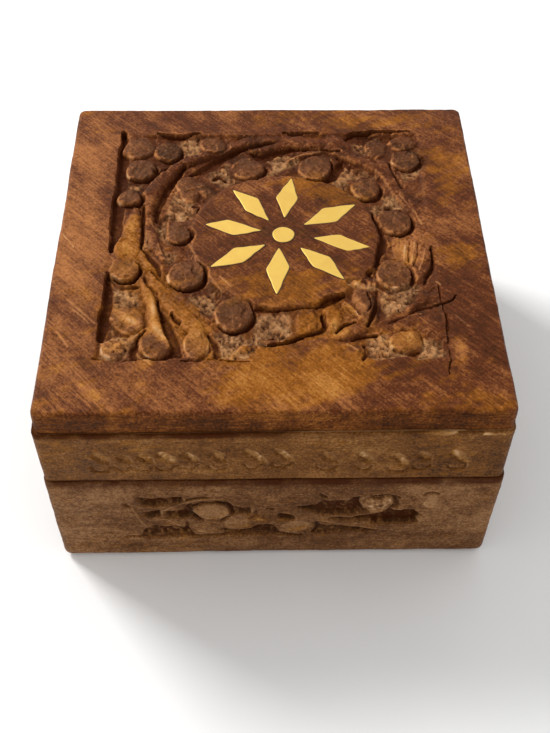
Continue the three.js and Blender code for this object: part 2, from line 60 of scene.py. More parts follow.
# The studio, in metres and watts
FLOOR_REACH = 3.0
SKY_STRENGTH = 0.74
LAMP_AT = (-0.62, 0.5, 0.74)
LAMP_AIM = (0, 0, 0.04)
LAMP_SIZE = 0.3
LAMP_POWER = 9

# How fine the meshes are
FINE_STEP = 0.26
PATH_STEPS = 5  # straight pieces between two points of a path
ARC_STEPS = 5
RIM_STEPS = 4
DISC_SIDES = 40
SHARP_ANGLE = 55  # faces that meet at more degrees than this have a sharp edge
CELLS = 64  # noise repeats after so many of its cells
FAR = 1e3  # further than any place on the box
RIM_REACH = 50  # about how far the board's rim is from its middle
SLIMMEST = 0.15  # the least half width of a path

# Edges worn round
BOARD_TOP_ROUND = 1.0
BOARD_LOWER_ROUND = 0.5
BOARD_CORNER = 1.8
WALL_CORNER = 1.8
FOOT_ROUND = 2.4
RIM_ROUND = 0.4
WORN_WIDTH = 0.15  # of the bevel on the edges of the plain solids
WORN_ANGLE = 40  # edges that turn by more degrees than this have it
LOWER_EDGE_WEAR = 1.3  # how much rounder the board's lower edge is in the middle of the front
LOWER_EDGE_WORN = (5.5, 12)  # middle and half length of that run
CHIPPED = (42.0, 6.0)  # middle and half length of a chipped run of the front rail's upper edge
CHIP_LIGHT = 3  # how much lighter the chipped wood is
NICK = 0.25  # how deep the nicks in a wall's worn edges are
WAVE = 0.12  # how far a planed face wanders
SIDE_BULGE = 0.1  # how far the board's sides swell between their edges
DROOP = 0.5  # how far the board's back edge drops at its right-hand end
DROOP_ALONG = (20, 50)  # where along the edge the droop starts and is full
DROOP_BACK = (44, 50)  # the same from front to back

# Dirt and shade
RIM_SHADE_AND_DIRT = {"base": 2.4, "lid": 1.5}  # how far down from a wall's upper rim the dirt and painted shadow reach
LOWER_RIM_SHADE_AND_DIRT = {"base": 0.0, "lid": 1.0}  # how dark the lower rim is with dirt and painted shade
LOWER_SHADE_AND_DIRT_HEIGHT = 0.35
PLAIN_EDGES_FROM = 37  # to the right of this the carving's edges are sharp and dark: not rubbed pale, no painted highlight
RIM_DARKENING_FADED_FROM = 8  # to the right of this the rim under the board has little dirt and painted shadow
RIM_DARKENING_FADE_OVER = 16  # how far to the left of that the dirt and painted shadow start to fade
SEAM_SHADE_AND_DIRT = 0.6  # how dark the foot of the board's sides is with dirt and painted shadow
SEAM_FADE = 0.9  # how far up the dirt gets less by 1
SKIRT_LIGHT = -0.3  # painted shade: the board's sides are darker than its top
SKIRT_SHADE_FROM = 0.3  # how far below the top that starts
SKIRT_SHADE_OVER = 1.2  # and over how far it grows
SKIRT_GOLD_LOSS = 0.8  # how much less golden the sides are

# The tables of the carvings are drawings, a little larger or smaller than the box. Each drawing
# is scaled about the origin and then moved: along, then back or up.
BOARD_DRAWING = (0.988, -0.25, -1.25)
BAND_DRAWING = (1.0, 1.5, -0.7)
ROW_DRAWING = (1.0, 0.0, 1.05)

# The carved panel in the board
PANEL = {"left": -38.9, "right": 38.9, "front": -35.2, "back": 41.6}
PANEL_LEVEL = -1.25  # the ground that was cut away round the leaves
MEDALLION = (3.2, 2.6, 22.6, 22.4)
# cuts deeper than this are darkened with dirt and painted shade
SHADE_AND_DIRT_DEPTH = 0.95
PANEL_SHADE = 0.2  # painted shade: how much darker the wood is below the board's face
PANEL_RELIEF = 0.88  # of the depths in the panel's tables
BUD_TONE = 0.5  # of the darkening in the tables of leaves
TORN_LIGHT_AND_SHADE = 3.0  # painted light on the torn ground's high points and painted shade in its pits
KNIFE_FACETS = 0.22  # how deep the knife's flat cuts on the leaves and stems are
BUD_RIM = 2.3  # how much lighter a leaf's rim is where it faces the left front: rubbed pale, with a painted highlight
BAND_BUD_RIM = 0.9  # the same in the base's band
BUD_DUST = 0.15  # how much of the pale dust of the cut ground lies on the leaves
# the hollow beside a leaf is a leaf-shaped cut this far to the right and back, and this much wider
HOLLOW_OFF = (0.6, -0.8, 0.35)
CROWN_EDGE = 0.8  # how wide the steep edge of a leaf or stem is
CROWN_FALL = 0.25  # how much of its height the crown falls from its middle to that edge
HAND_SWAY = 0.42  # how far the carver's lines stray from the drawing, slowly
HAND_SHAKE = 0.08  # and quickly
SCRATCH_HALF_WIDTH = 0.2
SCRATCH_ROUGH = 0.4
SCRATCH_LIGHT = 1.3
# where the panel rises to the board's face: x, y, half width, half length
FLUSH = [
    (40, 2, 6, 30),
    (8, -34, 13, 5),
    (-37, -2, 5, 8),
    (-35, 39, 5, 4),
    (17, 39, 3.5, 4),
    (36, -26, 6, 4),
]

# Leaves: x, y, half width, half length, turn in degrees, how far the top is down, how deep the
# hollow round the leaf's right front side is, and how much darker the leaf is
BUDS = [
    (-34.0, 36.8, 4.2, 4.0, 0, 0.1, 0.0, 0.3),
    (-26.2, 35.6, 3.8, 3.9, 0, 0.2, 2.0, 0.75),
    (-33.0, 28.4, 4.1, 4.3, -15, 0.2, 2.3, 0.3),
    (-35.2, 17.9, 3.2, 3.0, 0, 0.3, 2.2, 0.0),
    (-14.6, 38.2, 3.6, 3.2, 0, 0.25, 1.0, 0.4),
    (-5.5, 28.7, 4.2, 4.2, 0, 0.15, 2.0, 0.3),
    (-20.6, 20.8, 2.9, 4.7, 14, 0.3, 1.2, 0.4),
    (-16.2, 20.4, 1.7, 3.6, 34, 0.25, 0.7, 0.3),
    (-22.6, 5.2, 3.2, 3.4, 0, 0.7, 1.9, 0.2),
    (-20.1, -9.3, 4.4, 4.8, -15, 0.1, 2.3, 0.35),
    (-8.8, -21.8, 4.5, 5.1, 0, 0.2, 2.1, 0.6),
    (-34.6, -7.8, 3.6, 3.1, 0, 0.1, 2.2, 0.0),
    (-32.6, -23.0, 3.8, 4.2, 35, 0.3, 1.3, 0.0),
    (-35.2, -31.4, 2.9, 2.9, 0, 0.2, 1.4, 0.0),
    (-25.7, -30.4, 3.9, 4.1, 0, 0.25, 2.3, 0.45),
    (-17.0, -30.8, 2.9, 4.3, 0, 0.25, 1.4, -0.2),
    (27.6, 36.4, 2.9, 4.2, 0, 0.2, 0.9, 0.3),
    (34.9, 38.2, 3.9, 3.0, 0, 0.15, 0.8, 0.7),
    (34.9, 31.4, 3.9, 3.8, 0, 0.15, 1.5, 0.2),
    (11.6, 28.8, 4.6, 4.8, -30, 0.1, 2.4, 0.4),
    (24.2, 20.5, 3.8, 4.2, 0, 0.15, 2.1, 0.6),
    (30.4, 8.1, 4.2, 4.5, 0, 0.15, 1.9, 0.4),
    (28.6, -9.3, 4.2, 4.8, 0, 0.15, 1.9, 0.1),
    (21.4, -19.4, 2.8, 6.0, 12, 0.2, 1.3, 0.1),
    (29.4, -30.4, 3.8, 3.1, 0, 0.15, 1.6, 0.6),
]

# Stems and long leaves: points, each with the half width there, and how far the top is down
STEMS = [
    # the left stem, from the back corner
    ([(-22, 30.6, 1.4), (-25.6, 27.4, 1.7), (-28.4, 23, 1.9), (-30.2, 18, 1.8), (-30.6, 12.6, 1.5),
      (-29.8, 7, 1.5), (-28, 1.4, 1.4), (-25.6, -4, 0.9)], 0.0),
    # the stem along the back, from the same corner
    ([(-22, 31, 1.3), (-17.6, 33.6, 1.6), (-12.6, 36.2, 1.5), (-7, 38.8, 1.6), (0, 40.4, 1.8),
      (7, 39.4, 2.2), (13, 37.9, 1.6)], 0.05),
    ([(-6, 35.6, 0.6), (-1, 36.4, 1.2), (4, 37.8, 1.3), (10, 37.4, 0.9)], 0.25),
    # behind the round leaf and down to the right
    ([(4.6, 31, 0.7), (9, 33.8, 0.9), (15, 35.4, 1.1), (20.4, 33.8, 1.9), (25, 30.4, 1.6),
      (28.6, 27.2, 1.6), (31, 22.6, 1.6)], 0.1),
    # the right stem
    ([(28.6, 32, 1.3), (30, 26, 1.6), (31.6, 20.6, 1.6), (33.8, 15.4, 1.5), (35.8, 10.4, 1.4),
      (37, 5, 1.3), (37, -1, 1.3), (35.8, -7, 1.2), (34.2, -12, 0.9)], 0.1),
    # the long golden leaf on the left
    ([(-33.2, 13.6, 0.8), (-33.6, 8, 1.9), (-34, 2, 3.0), (-34.4, -6.4, 3.4)], 0.1),
    # the spray in the left front corner
    ([(-30.6, -2, 0.8), (-29.6, -6, 1.1), (-27.6, -9.4, 1.2), (-24.6, -12.6, 1.0)], 0.15),
    ([(-31.4, -6, 0.8), (-29.4, -11, 1.1), (-28.2, -16, 1.4), (-27.2, -21, 1.5), (-25.4, -26.6, 1.5),
      (-23, -31, 1.2)], 0.1),
    ([(-28.4, -9.6, 0.8), (-25, -15, 1.5), (-21.6, -20, 2.0), (-18.6, -24, 2.1),
      (-16.6, -27.6, 1.6)], 0.1),
    ([(-25.6, -11.6, 0.7), (-21.4, -16, 1.1), (-17.6, -20.4, 1.2), (-13.8, -23.4, 1.0)], 0.2),
    # the tan leaves on the right
    ([(30.4, 1.6, 1.4), (31, -3, 1.9), (31.4, -6, 0.9)], 0.5),
    ([(34, 1, 1.1), (34.4, -5, 1.5), (33.8, -10.6, 0.8)], 0.35),
    # small leaves in front of the medallion
    ([(7.8, -20.6, 1.8), (7.8, -24, 2.3), (6.4, -27.6, 1.2)], 0.45),
    ([(13, -20.4, 1.6), (13.6, -23, 2.0), (13, -26.6, 0.9)], 0.4),
    ([(16.6, -18.8, 1.2), (18, -21, 1.2), (19.6, -23, 0.6)], 0.35),
    ([(15, -28.6, 0.9), (18.2, -27.2, 1.7), (21.6, -25.6, 1.0)], 0.2),
    ([(19.6, -12.4, 1.3), (22.2, -12.2, 1.4), (24, -13, 0.7)], 0.35),
    # smooth wedges at the right front
    ([(28.6, -25.6, 1.6), (33, -24.4, 2.4), (38, -24, 2.6)], 0.1),
    ([(31, -20.8, 0.8), (35, -17.4, 1.6), (38.4, -16.4, 2.0)], 0.1),
    # the leaf at the panel's foot
    ([(-7, -31.6, 0.9), (0, -33.6, 2.6), (9, -33, 3.4), (17, -32.6, 2.4)], 0.05),
]

# Deep cuts: points, each with the half width there, and depth
CUTS = [
    ([(-20.2, 25.8, 0.8), (-17.4, 28, 1.5), (-14.6, 30.6, 1.7), (-11.6, 33.2, 1.5), (-8, 35.6, 1.1),
      (-4, 37.2, 0.8), (0.4, 38.6, 0.4)], 2.5),
    ([(-4.6, 34.6, 0.6), (-1.4, 33.6, 1.4), (2.4, 35, 1.2), (6, 36.4, 0.7), (10, 35.9, 0.6),
      (14, 35.5, 0.45), (18.4, 35.3, 0.3)], 2.2),
    ([(17.4, 32.8, 0.6), (19.4, 31, 0.9), (21.4, 29.6, 0.5)], 1.9),
    ([(-21.6, 29.6, 0.4), (-23.4, 26, 0.8), (-24.8, 23, 1.2), (-26.6, 19.4, 1.1), (-27.6, 16, 1.0),
      (-28.1, 12.6, 0.9), (-28.1, 9.6, 0.5)], 2.5),
    ([(-31.6, 14.6, 0.5), (-31.4, 10, 0.6), (-31.2, 5, 0.5), (-30.8, 0, 0.35)], 1.8),
    ([(-30.4, -0.6, 0.4), (-28.6, -3.6, 0.8), (-27, -6.6, 0.8), (-25.8, -9.2, 0.4)], 1.9),
    ([(18.3, 31.4, 0.6), (17.8, 29.4, 1.2), (16.6, 26.8, 1.4), (15, 24.6, 1.1),
      (13.8, 23.2, 0.7)], 2.5),
    ([(30.8, 30.8, 0.35), (31.2, 27.4, 0.5), (32.4, 23.6, 0.6), (33.4, 20.8, 0.4)], 1.7),
    ([(25.2, 11.2, 0.4), (25.9, 8, 0.6), (26.6, 4.4, 0.7), (27.2, 1.4, 1.1), (26.8, -1.4, 1.1),
      (25.6, -4.2, 0.7), (24.4, -7, 0.5)], 2.0),
    ([(-26.2, -16.6, 0.35), (-25.2, -20, 0.6), (-24, -23.4, 1.2), (-23, -26.4, 1.4),
      (-21.8, -29.4, 1.2), (-21, -33.4, 1.0)], 2.4),
    ([(-30.6, -9, 0.3), (-28.8, -12, 0.4), (-26.4, -15, 0.25)], 1.4),
    ([(-28.2, -8.4, 0.3), (-25.4, -11.4, 0.4), (-23, -14.2, 0.25)], 1.3),
    ([(-22.6, -21, 0.3), (-21.4, -23.6, 0.5), (-20.4, -24.6, 0.4)], 1.8),
    ([(-14.4, -27.6, 0.4), (-13, -30.6, 0.8), (-12.2, -34.4, 0.9)], 2.0),
    ([(-28.6, -26.4, 0.35), (-29.9, -28.4, 0.4), (-30, -30.4, 0.5), (-30.6, -32.4, 0.9),
      (-30.6, -34.6, 0.9)], 2.0),
    ([(10.2, -19.5, 0.4), (12.4, -18, 0.8), (14.6, -17.2, 0.9), (16.6, -16.4, 0.5)], 2.1),
    ([(2, -20.2, 0.4), (6, -20, 0.4), (10.2, -19.7, 0.4)], 1.3),
    ([(-3.6, -20.4, 0.6), (-1.2, -20.4, 0.8), (2, -20.3, 0.5)], 1.7),
    ([(-0.8, -31, 0.5), (3, -30.4, 0.7), (6, -29.2, 0.8), (9, -27.4, 0.8), (11.6, -25.4, 0.8),
      (11.4, -22, 0.4)], 2.3),
    ([(14.2, -27, 0.3), (16, -25.3, 0.6), (18.6, -24.2, 0.4)], 2.1),
    ([(24.4, -14.6, 0.4), (23.8, -19, 0.7), (23, -22.4, 0.7), (21.6, -25.8, 0.4)], 1.8),
    ([(17.6, -29.7, 0.3), (20, -28.9, 0.6), (23.2, -28.2, 0.4)], 2.0),
    # between the ribs of a leaf
    ([(18, -17.2, 0.2), (18.9, -19.6, 0.35), (19.9, -22, 0.25)], 1.2),
    ([(16.4, -19.8, 0.2), (17.8, -21.4, 0.35), (19.4, -23, 0.25)], 1.2),
    ([(21.8, -15.6, 0.2), (22.4, -18.4, 0.3), (21.8, -21.4, 0.2)], 1.0),
    ([(12.4, -21.6, 0.2), (12.2, -23.6, 0.3), (11.6, -25.4, 0.2)], 1.2),
    # the edge of the golden leaf's foot
    ([(-38.2, -9.4, 0.3), (-36.4, -11.6, 0.6), (-34, -12.8, 0.8), (-31, -12.4, 0.6)], 1.9),
    ([(38.3, -0.8, 0.3), (38.1, -5.8, 0.4), (36.9, -9.4, 0.45), (35.2, -12.6, 0.3)], 1.4),
    ([(33.4, 1.2, 0.25), (32.8, -2, 0.35), (32.6, -5.6, 0.25)], 1.2),
    ([(35.6, 0.6, 0.2), (34.6, -3.6, 0.3), (33.6, -7, 0.2)], 1.0),
    ([(31.6, 3, 0.2), (30.8, 0.4, 0.3), (30, -2, 0.2)], 1.0),
    ([(20.2, -31.2, 0.4), (20.7, -33.2, 0.6), (19.8, -35.4, 0.35)], 1.6),
    ([(-19.4, 15.2, 0.5), (-17.9, 14.6, 0.55), (-18.4, 12.4, 0.4)], 1.8),
    ([(-20.2, 10.4, 0.35), (-19.6, 9.8, 0.35)], 1.4),
    ([(-14.2, 24.6, 0.5), (-12.8, 25.2, 0.6), (-11.4, 23.8, 0.4)], 1.9),
    ([(23.4, -10.4, 0.5), (22.4, -10, 0.6), (23.2, -9, 0.4)], 1.7),
    ([(24.6, 32.3, 0.5), (25.6, 32.5, 0.4)], 1.7),
    ([(32.1, 13, 0.4), (32.4, 12.3, 0.4)], 1.5),
    ([(-29, 27.6, 0.9), (-27, 28.2, 1.0), (-25.4, 29, 0.4)], 1.9),
    # along the foot of the back wall
    ([(-29.6, 42, 0.4), (-26, 41, 0.7), (-22, 41.7, 0.5), (-18.4, 42, 0.3)], 1.8),
    ([(3.6, 42.4, 0.3), (8, 42.2, 0.6), (13, 42.5, 0.3)], 1.5),
    ([(20.2, 40, 0.5), (22, 41.6, 0.7), (26, 42.3, 0.7), (31, 42.4, 0.6), (37, 42.6, 0.25)], 1.8),
    # the long crack that runs out over the panel's edge, and the one along its right-hand side
    ([(26, -24.4, 0.3), (29.6, -23.2, 0.45), (31.8, -21.5, 0.4), (34.2, -20.3, 0.3),
      (37.2, -19.7, 0.25), (41, -18.8, 0.25), (42, -16.8, 0.2)], 1.4),
    ([(38.6, -13, 0.15), (38.8, -19.6, 0.2), (39.2, -24, 0.25), (38.7, -28.6, 0.45), (38.8, -31, 0.2),
      (38.6, -35, 0.2), (38.2, -40, 0.15)], 0.8),
    ([(-39, -35.2, 0.25), (-34, -35.3, 0.35), (-30, -35.2, 0.25)], 0.8),
    ([(-20, -35.4, 0.25), (-12, -35.6, 0.3), (-5, -35.9, 0.2)], 0.7),
]

# Grooves along the foot of the panel's left wall, in which leaves stand: as in CUTS
GROOVES = [
    ([(-38.2, 42.6, 0.7), (-37.6, 36, 1.4), (-37.5, 30, 1.6), (-37.4, 22, 1.7), (-37.3, 14, 1.7),
      (-37.5, 6, 1.5), (-38.2, -2, 0.5)], 2.1),
    ([(-38.2, -9, 0.4), (-37.8, -14, 1.2), (-37.7, -20, 1.4), (-37.8, -25, 1.3),
      (-38.2, -29, 0.8)], 2.1),
]

# Cleared ground, left rough: its corners and its depth, to which CLEARED is added
CLEARED = 0.35
PATCHES = [
    ([(-25, 39.8), (-18.4, 41.2), (-18.2, 37), (-16.2, 33.6), (-20.4, 32.8), (-22.6, 36.4)], 1.2),
    ([(-25.4, 10.4), (-25.2, 15.6), (-24, 19.4), (-22.4, 17.2), (-19.2, 16), (-18.6, 12.6),
      (-19.6, 9.6), (-22.6, 9)], 1.2),
    ([(-10.2, 31), (-15.6, 27.2), (-15, 24), (-11.4, 20.8), (-7.6, 24.2), (-10.4, 26.4)], 1.1),
    ([(-2, 35), (3.6, 34.6), (7.6, 31.8), (4.6, 28.8), (1, 25.6), (-1.4, 26), (0.6, 30)], 1.1),
    ([(18.2, 30), (21.6, 30.6), (21.4, 26.6), (24, 25.4), (20.6, 24), (19.8, 20.2), (17.4, 20.6),
      (15.6, 23)], 1.2),
    ([(21.2, 38.4), (24.2, 38.8), (25, 36), (24.4, 32.4), (22.2, 32.4)], 1.0),
    ([(28.6, 18.6), (31.8, 18.4), (32.4, 13.6), (29, 13), (26.2, 10.8), (24.2, 13.6), (28, 15)], 1.2),
    ([(32.8, 27), (38.6, 28), (37, 24.6), (34, 23)], 1.0),
    ([(-28.4, 1), (-25.4, -1.2), (-22, -2.4), (-23.4, -5.4), (-25.4, -5)], 0.9),
    ([(-30, 8.6), (-29.6, 2), (-28.6, 0), (-30.6, -0.4), (-31, 6)], 1.0),
    ([(-19.4, -16.4), (-13, -14.6), (-12.4, -19.6), (-14.4, -23), (-20, -18.8)], 1.0),
    ([(-3.6, -21.4), (4.4, -20.8), (4.8, -27), (2, -30), (-4.6, -29), (-4.4, -25)], 1.1),
    ([(-13.4, -26.6), (-4.6, -28.4), (-1, -31), (-6, -34.8), (-13, -34.8)], 1.0),
    ([(20.6, -29.2), (25.6, -27.6), (26.4, -32), (29.4, -34), (26, -35.8), (21, -35)], 0.9),
    ([(33.6, -29.4), (37.6, -30), (37.8, -34.8), (31, -35.6), (32.4, -33)], 0.7),
    ([(-37.6, 28), (-36.2, 22), (-32.4, 22.6), (-32.6, 20.8), (-37.4, 20.4)], 1.2),
    ([(-37.4, -13), (-31, -14.4), (-30.4, -18.4), (-36, -20), (-36.6, -28), (-35.2, -28)], 1.1),
    ([(24.8, -15), (31.4, -12), (34.4, -14), (31, -20), (26, -22.6)], 0.8),
    ([(16.8, -11.4), (24, -10.8), (24.4, -14), (18.4, -14.2)], 0.8),
    ([(22, 29.4), (24, 28.6), (27.6, 25.2), (25, 25.6), (22, 26.4)], 1.7),
    ([(-27.4, 11), (-25.4, 11), (-25.6, 6), (-24, 1.6), (-27.8, 5)], 1.9),
    ([(-38, -29.6), (-36, -27), (-32, -27.6), (-30, -27), (-32, -34.4), (-38, -34.4)], 0.8),
]

# Pale lines: fresh knife scratches, rubbed edges, and painted highlights along sharp edges
SCRATCHES_AND_HIGHLIGHTS = [
    [(-46.4, -17.4), (-43, -21.2), (-39.8, -24.6)],
    [(-45, -20.4), (-42.6, -22.8), (-41, -24.8)],
    [(-38.2, -9), (-36.6, -10.8), (-34.6, -11.8)],
    [(-38, -30), (-38, -31.6), (-37, -33.4), (-35.6, -34.2)],
    [(-36.2, -18.6), (-35.7, -19.8)],
    [(-36, -22.8), (-35.4, -24.4)],
    [(-30, -33), (-28.4, -34.8), (-26.4, -36.8)],
    [(24, -10.2), (25, -11.8), (26.2, -13)],
    [(24.4, -13.6), (25.6, -14.6), (26.4, -15.4)],
    [(32.4, -32.4), (33.8, -34), (35, -35.4)],
    [(25, -29.4), (25.8, -31.2), (26.8, -32.6)],
    [(20.2, -32), (21.6, -33.6)],
    [(16.4, -31.2), (18.8, -33)],
    [(38.2, -12.4), (39, -13.6)],
    [(32.6, 1.8), (31.9, -1.4), (31.4, -5)],
    [(34.6, 1.4), (33.8, -2.4), (33, -6)],
    [(36.6, -1.4), (35.8, -5), (34.6, -8.6)],
    [(-20.2, 2.2), (-18.4, -2.4), (-16, -7), (-13.4, -12), (-11.6, -15), (-12.4, -17.4)],
    [(-29.8, 9.8), (-28.2, 6.8), (-26.8, 4), (-25.6, 2)],
    [(32.3, 18), (34, 14.4), (35.6, 11.2), (36.8, 7)],
    [(-39, -9), (-37.4, -11.2), (-35.6, -12.4)],
    [(-30, -32.6), (-28.2, -34.8), (-26.2, -36)],
    [(-38.2, 18.4), (-38, 16.8), (-37.2, 15.4)],
    [(-36.4, 31), (-36.6, 28), (-36, 25.8), (-35, 25.3)],
    [(-29.6, -30), (-28.6, -32.6), (-27, -34.2)],
    [(-14.6, -28), (-14.2, -31), (-14.8, -34)],
    [(-17.8, 37.6), (-17, 36.2)],
    [(-38, 39.6), (-36.4, 41.2)],
    [(4.8, 31), (7.2, 32.8), (10.6, 33.9), (14, 35), (17.2, 35.4)],
    [(31, 31.2), (32, 30), (33, 28.9)],
    [(19.8, 26.2), (22.8, 25), (27, 24.8)],
    [(31, -22.4), (33.8, -21.8)],
    [(-22.6, 19.4), (-21.4, 16.8), (-18, 15.9)],
    [(-27.2, 1), (-25.8, -3), (-24.6, -5.6)],
    [(-48, -27), (-45, -31.4)],
    [(-50, 4), (-47, -0.4)],
    [(-12, -10.4), (-9.4, -13.6)],
    [(41.4, -23), (44, -26.2)],
]

# How the board's wood changes across it: x, y, half width, half length, turn in degrees, then
# how much lighter and how much more golden it is there. A few spots, marked below, are painted
# highlights, a painted shade and a painted sheen.
BOARD_TONES = [
    # the lighter left border: the wood's tone with a painted sheen
    (-46, 6, 7, 50, 0, 0.68, 0.0),
    (-44, -42, 9, 8, 0, 0.1, 0.0),
    (-24, -45, 16, 6, 0, 0.3, 0.0),
    (-38.5, -45, 1.6, 6.5, 42, 0.55, 0.2),
    (-3, -43, 9, 9, 0, 0.45, 0.9),
    (10, -46, 7, 5, 0, 0.15, 0.3),
    (14, -38, 9, 6, 0, 0.2, 0.75),
    (29, -44, 7, 8, 0, -0.02, 0.05),
    (45, -47, 8, 4, 0, 0.05, 0.4),
    (45, -32, 6, 8, 0, -0.5, 0.0),
    (45, -17, 6, 7, 0, -0.45, -0.2),
    (45, -4, 5, 5, 0, 0.0, 0.5),
    (45, 26, 6, 14, 0, -0.1, 0.5),
    (34, 47, 12, 4, 0, 0.25, 0.5),
    (-20, 46, 20, 4, 0, -0.05, -0.1),
    (-33.8, -0.8, 3.0, 2.6, 0, 0.85, 1.5),
    (-34.6, -8, 4, 3, 0, 0.35, 0.2),
    (-33.6, 6, 2, 6, 0, 0.4, 0.9),
    (-28, -7, 2, 7, 32, 0.6, 0.9),
    (10, 22, 9, 5, 0, -0.1, 0.6),
    (18, 17, 6, 4, 0, -0.05, 0.7),
    (4, -14, 14, 7, 0, 0.2, 0.6),
    (-26, -18, 10, 5, -50, 0.3, 0.65),
    (-17, -28, 4, 7, 0, 0.3, 0.6),
    (-32, -25, 5, 6, 0, 0.15, 0.25),
    (29, -31, 6, 4, 0, 0.35, 0.6),
    (12, -24, 12, 4, 20, 0.3, 0.7),
    (-20, 34, 20, 10, 0, -0.15, -0.3),
    (30, 34, 12, 10, 0, -0.25, -0.3),
    (32, -2, 4, 6, 0, 1.25, 0.3),
    (-24.8, -27.8, 1.2, 3.4, 39, 2.0, 0.5),
    # a painted highlight on the leaf in the left front corner
    (-32, -23.4, 1.1, 3.4, 50, 1.7, 0.2),
    (-27, -20, 0.9, 4.5, 5, 1.5, 0.3),
    (20, -18.5, 0.8, 2.8, 30, 1.2, 0.2),
    (18.3, -20.8, 0.6, 2.0, 28, 0.8, 0.2),
    # painted shade to the right of the ribbed leaf
    (23.4, -19.5, 1.2, 4.5, 5, -0.8, -0.2),
    (20, -12.8, 3.4, 1.2, -15, 1.4, 0.5),
    (27.5, -17.5, 2.2, 3.5, 10, 0.6, 0.3),
    (30, -21.5, 3.0, 1.2, 20, 0.6, 0.2),
    # a painted highlight on the leaf in the right front corner
    (30.4, -29.4, 1.6, 2.0, 0, 1.0, 0.5),
    (15.8, -27.4, 2.4, 1.3, 25, 0.8, 0.4),
    (14, -25.4, 0.9, 2.2, 0, 0.9, 0.3),
    (13, -26, 7, 4, 0, 0.35, 0.1),
    (45, 1, 5, 5, 0, -0.35, 0.0),
    (41.3, -33, 1.6, 4.5, 0, 0.85, 0.5),
    (-18, 28, 5, 4, 0, 0.3, 0.0),
    (0, 19, 5, 4, 0, -0.3, 0.0),
    (-22, 13, 3, 4, 0, 0.5, 0.2),
    (-10, 3, 9, 12, 0, 0.15, 0.0),
    (17, 3, 6, 9, 0, 0.12, -0.2),
    (-6, -34, 9, 2.5, 0, 0.35, 0.5),
    (-36, -8, 3, 3, 0, -0.4, 0.0),
    (-27, -35, 10, 3, 0, 0.3, 0.0),
    (14, 38, 10, 3, 0, 0.3, 0.0),
]

# The carved vine on a base wall, as seen from outside: along the wall from its middle, up from
# the floor. The columns are those of the board's tables.
BAND_BUDS = [
    (-16.0, 21.1, 4.2, 3.4, 0, 0.1, 0.0, -2.2),
    (-17.4, 14.3, 3.8, 2.7, 0, 0.2, 0.0, -1.0),
    (-10.2, 16.0, 3.2, 2.9, 0, 0.15, 0.0, -0.8),
    (3.7, 13.9, 4.4, 2.6, 18, 0.1, 0.0, -1.9),
    (22.7, 23.1, 3.8, 2.9, 8, 0.1, 0.0, -2.8),
    (34.8, 24.8, 1.8, 2.8, -8, 0.05, 0.0, -2.2),
    (-3.4, 19.0, 2.6, 2.2, 20, 0.3, 0.0, -0.05),
]
BAND_STEMS = [
    ([(-35, 24.8, 0.3), (-34, 21, 0.45), (-33.5, 17, 0.45), (-33.7, 14.8, 0.3)], 0.05),
    ([(-28, 19, 0.4), (-27.6, 22.2, 0.7), (-23.6, 24.6, 0.8), (-19.4, 25.6, 0.6),
      (-14.6, 26, 0.5)], 0.1),
    ([(-31.4, 18.8, 0.3), (-29.4, 17, 0.55), (-28.4, 15.4, 0.4)], 0.1),
    ([(8, 17.2, 0.7), (12.4, 15.6, 0.9), (18.4, 14.1, 1.0), (23.6, 12.9, 1.1), (28.6, 12, 1.0),
      (33, 12.4, 0.6)], 0.05),
    ([(28.4, 27.2, 0.9), (29.2, 24.4, 0.8), (30, 21.6, 0.4)], 0.2),
    ([(29.2, 25, 0.3), (30.8, 22.6, 0.35), (32.2, 20.5, 0.3)], 0.0),
]
BAND_CUTS = [
    ([(-21.6, 26, 0.5), (-19, 26.8, 0.4), (-16, 27.2, 0.25)], 1.2),
    ([(-20.2, 23.2, 0.5), (-17.6, 24.5, 0.6), (-14.4, 24.9, 0.5), (-12.2, 24.3, 0.5),
      (-11.4, 22.4, 0.6), (-11.4, 20, 0.5)], 1.6),
    ([(-20.5, 20.4, 0.4), (-19.8, 18.6, 0.45), (-18.8, 17.6, 0.4)], 1.4),
    ([(-12.3, 18.9, 0.4), (-13.8, 17.5, 0.4)], 1.3),
    ([(-37, 10, 0.3), (-30, 10.2, 0.4), (-20, 10.3, 0.5), (-10, 10.6, 0.6), (0, 10.4, 0.5),
      (5, 10.2, 0.3)], 1.1),
    ([(-13.4, 12.8, 0.5), (-11, 12.2, 0.6), (-7.4, 12.2, 0.7), (-3.6, 12.8, 0.8)], 1.3),
    ([(8.4, 16, 0.4), (9, 13.8, 0.6), (7.8, 11.4, 0.4)], 1.3),
    ([(21, 27.2, 0.5), (24.4, 27.5, 0.6), (26.9, 26.2, 0.5)], 1.4),
    ([(32.9, 27.7, 0.3), (34.5, 28.1, 0.45), (36.2, 27.6, 0.3)], 1.3),
    ([(8.8, 28.5, 0.3), (10.2, 27, 0.35)], 0.9),
    ([(-36.4, 24.2, 0.4), (-34.6, 23, 0.35)], 0.8),
    ([(-3.4, 22.2, 0.45), (-1.8, 22, 0.45)], 1.0),
    ([(-7.4, 17.6, 0.3), (-5.6, 19, 0.4), (-5.9, 21, 0.3)], 0.9),
    ([(-22.2, 16.6, 0.3), (-22, 13.6, 0.4), (-21.8, 11.6, 0.4)], 1.1),
]
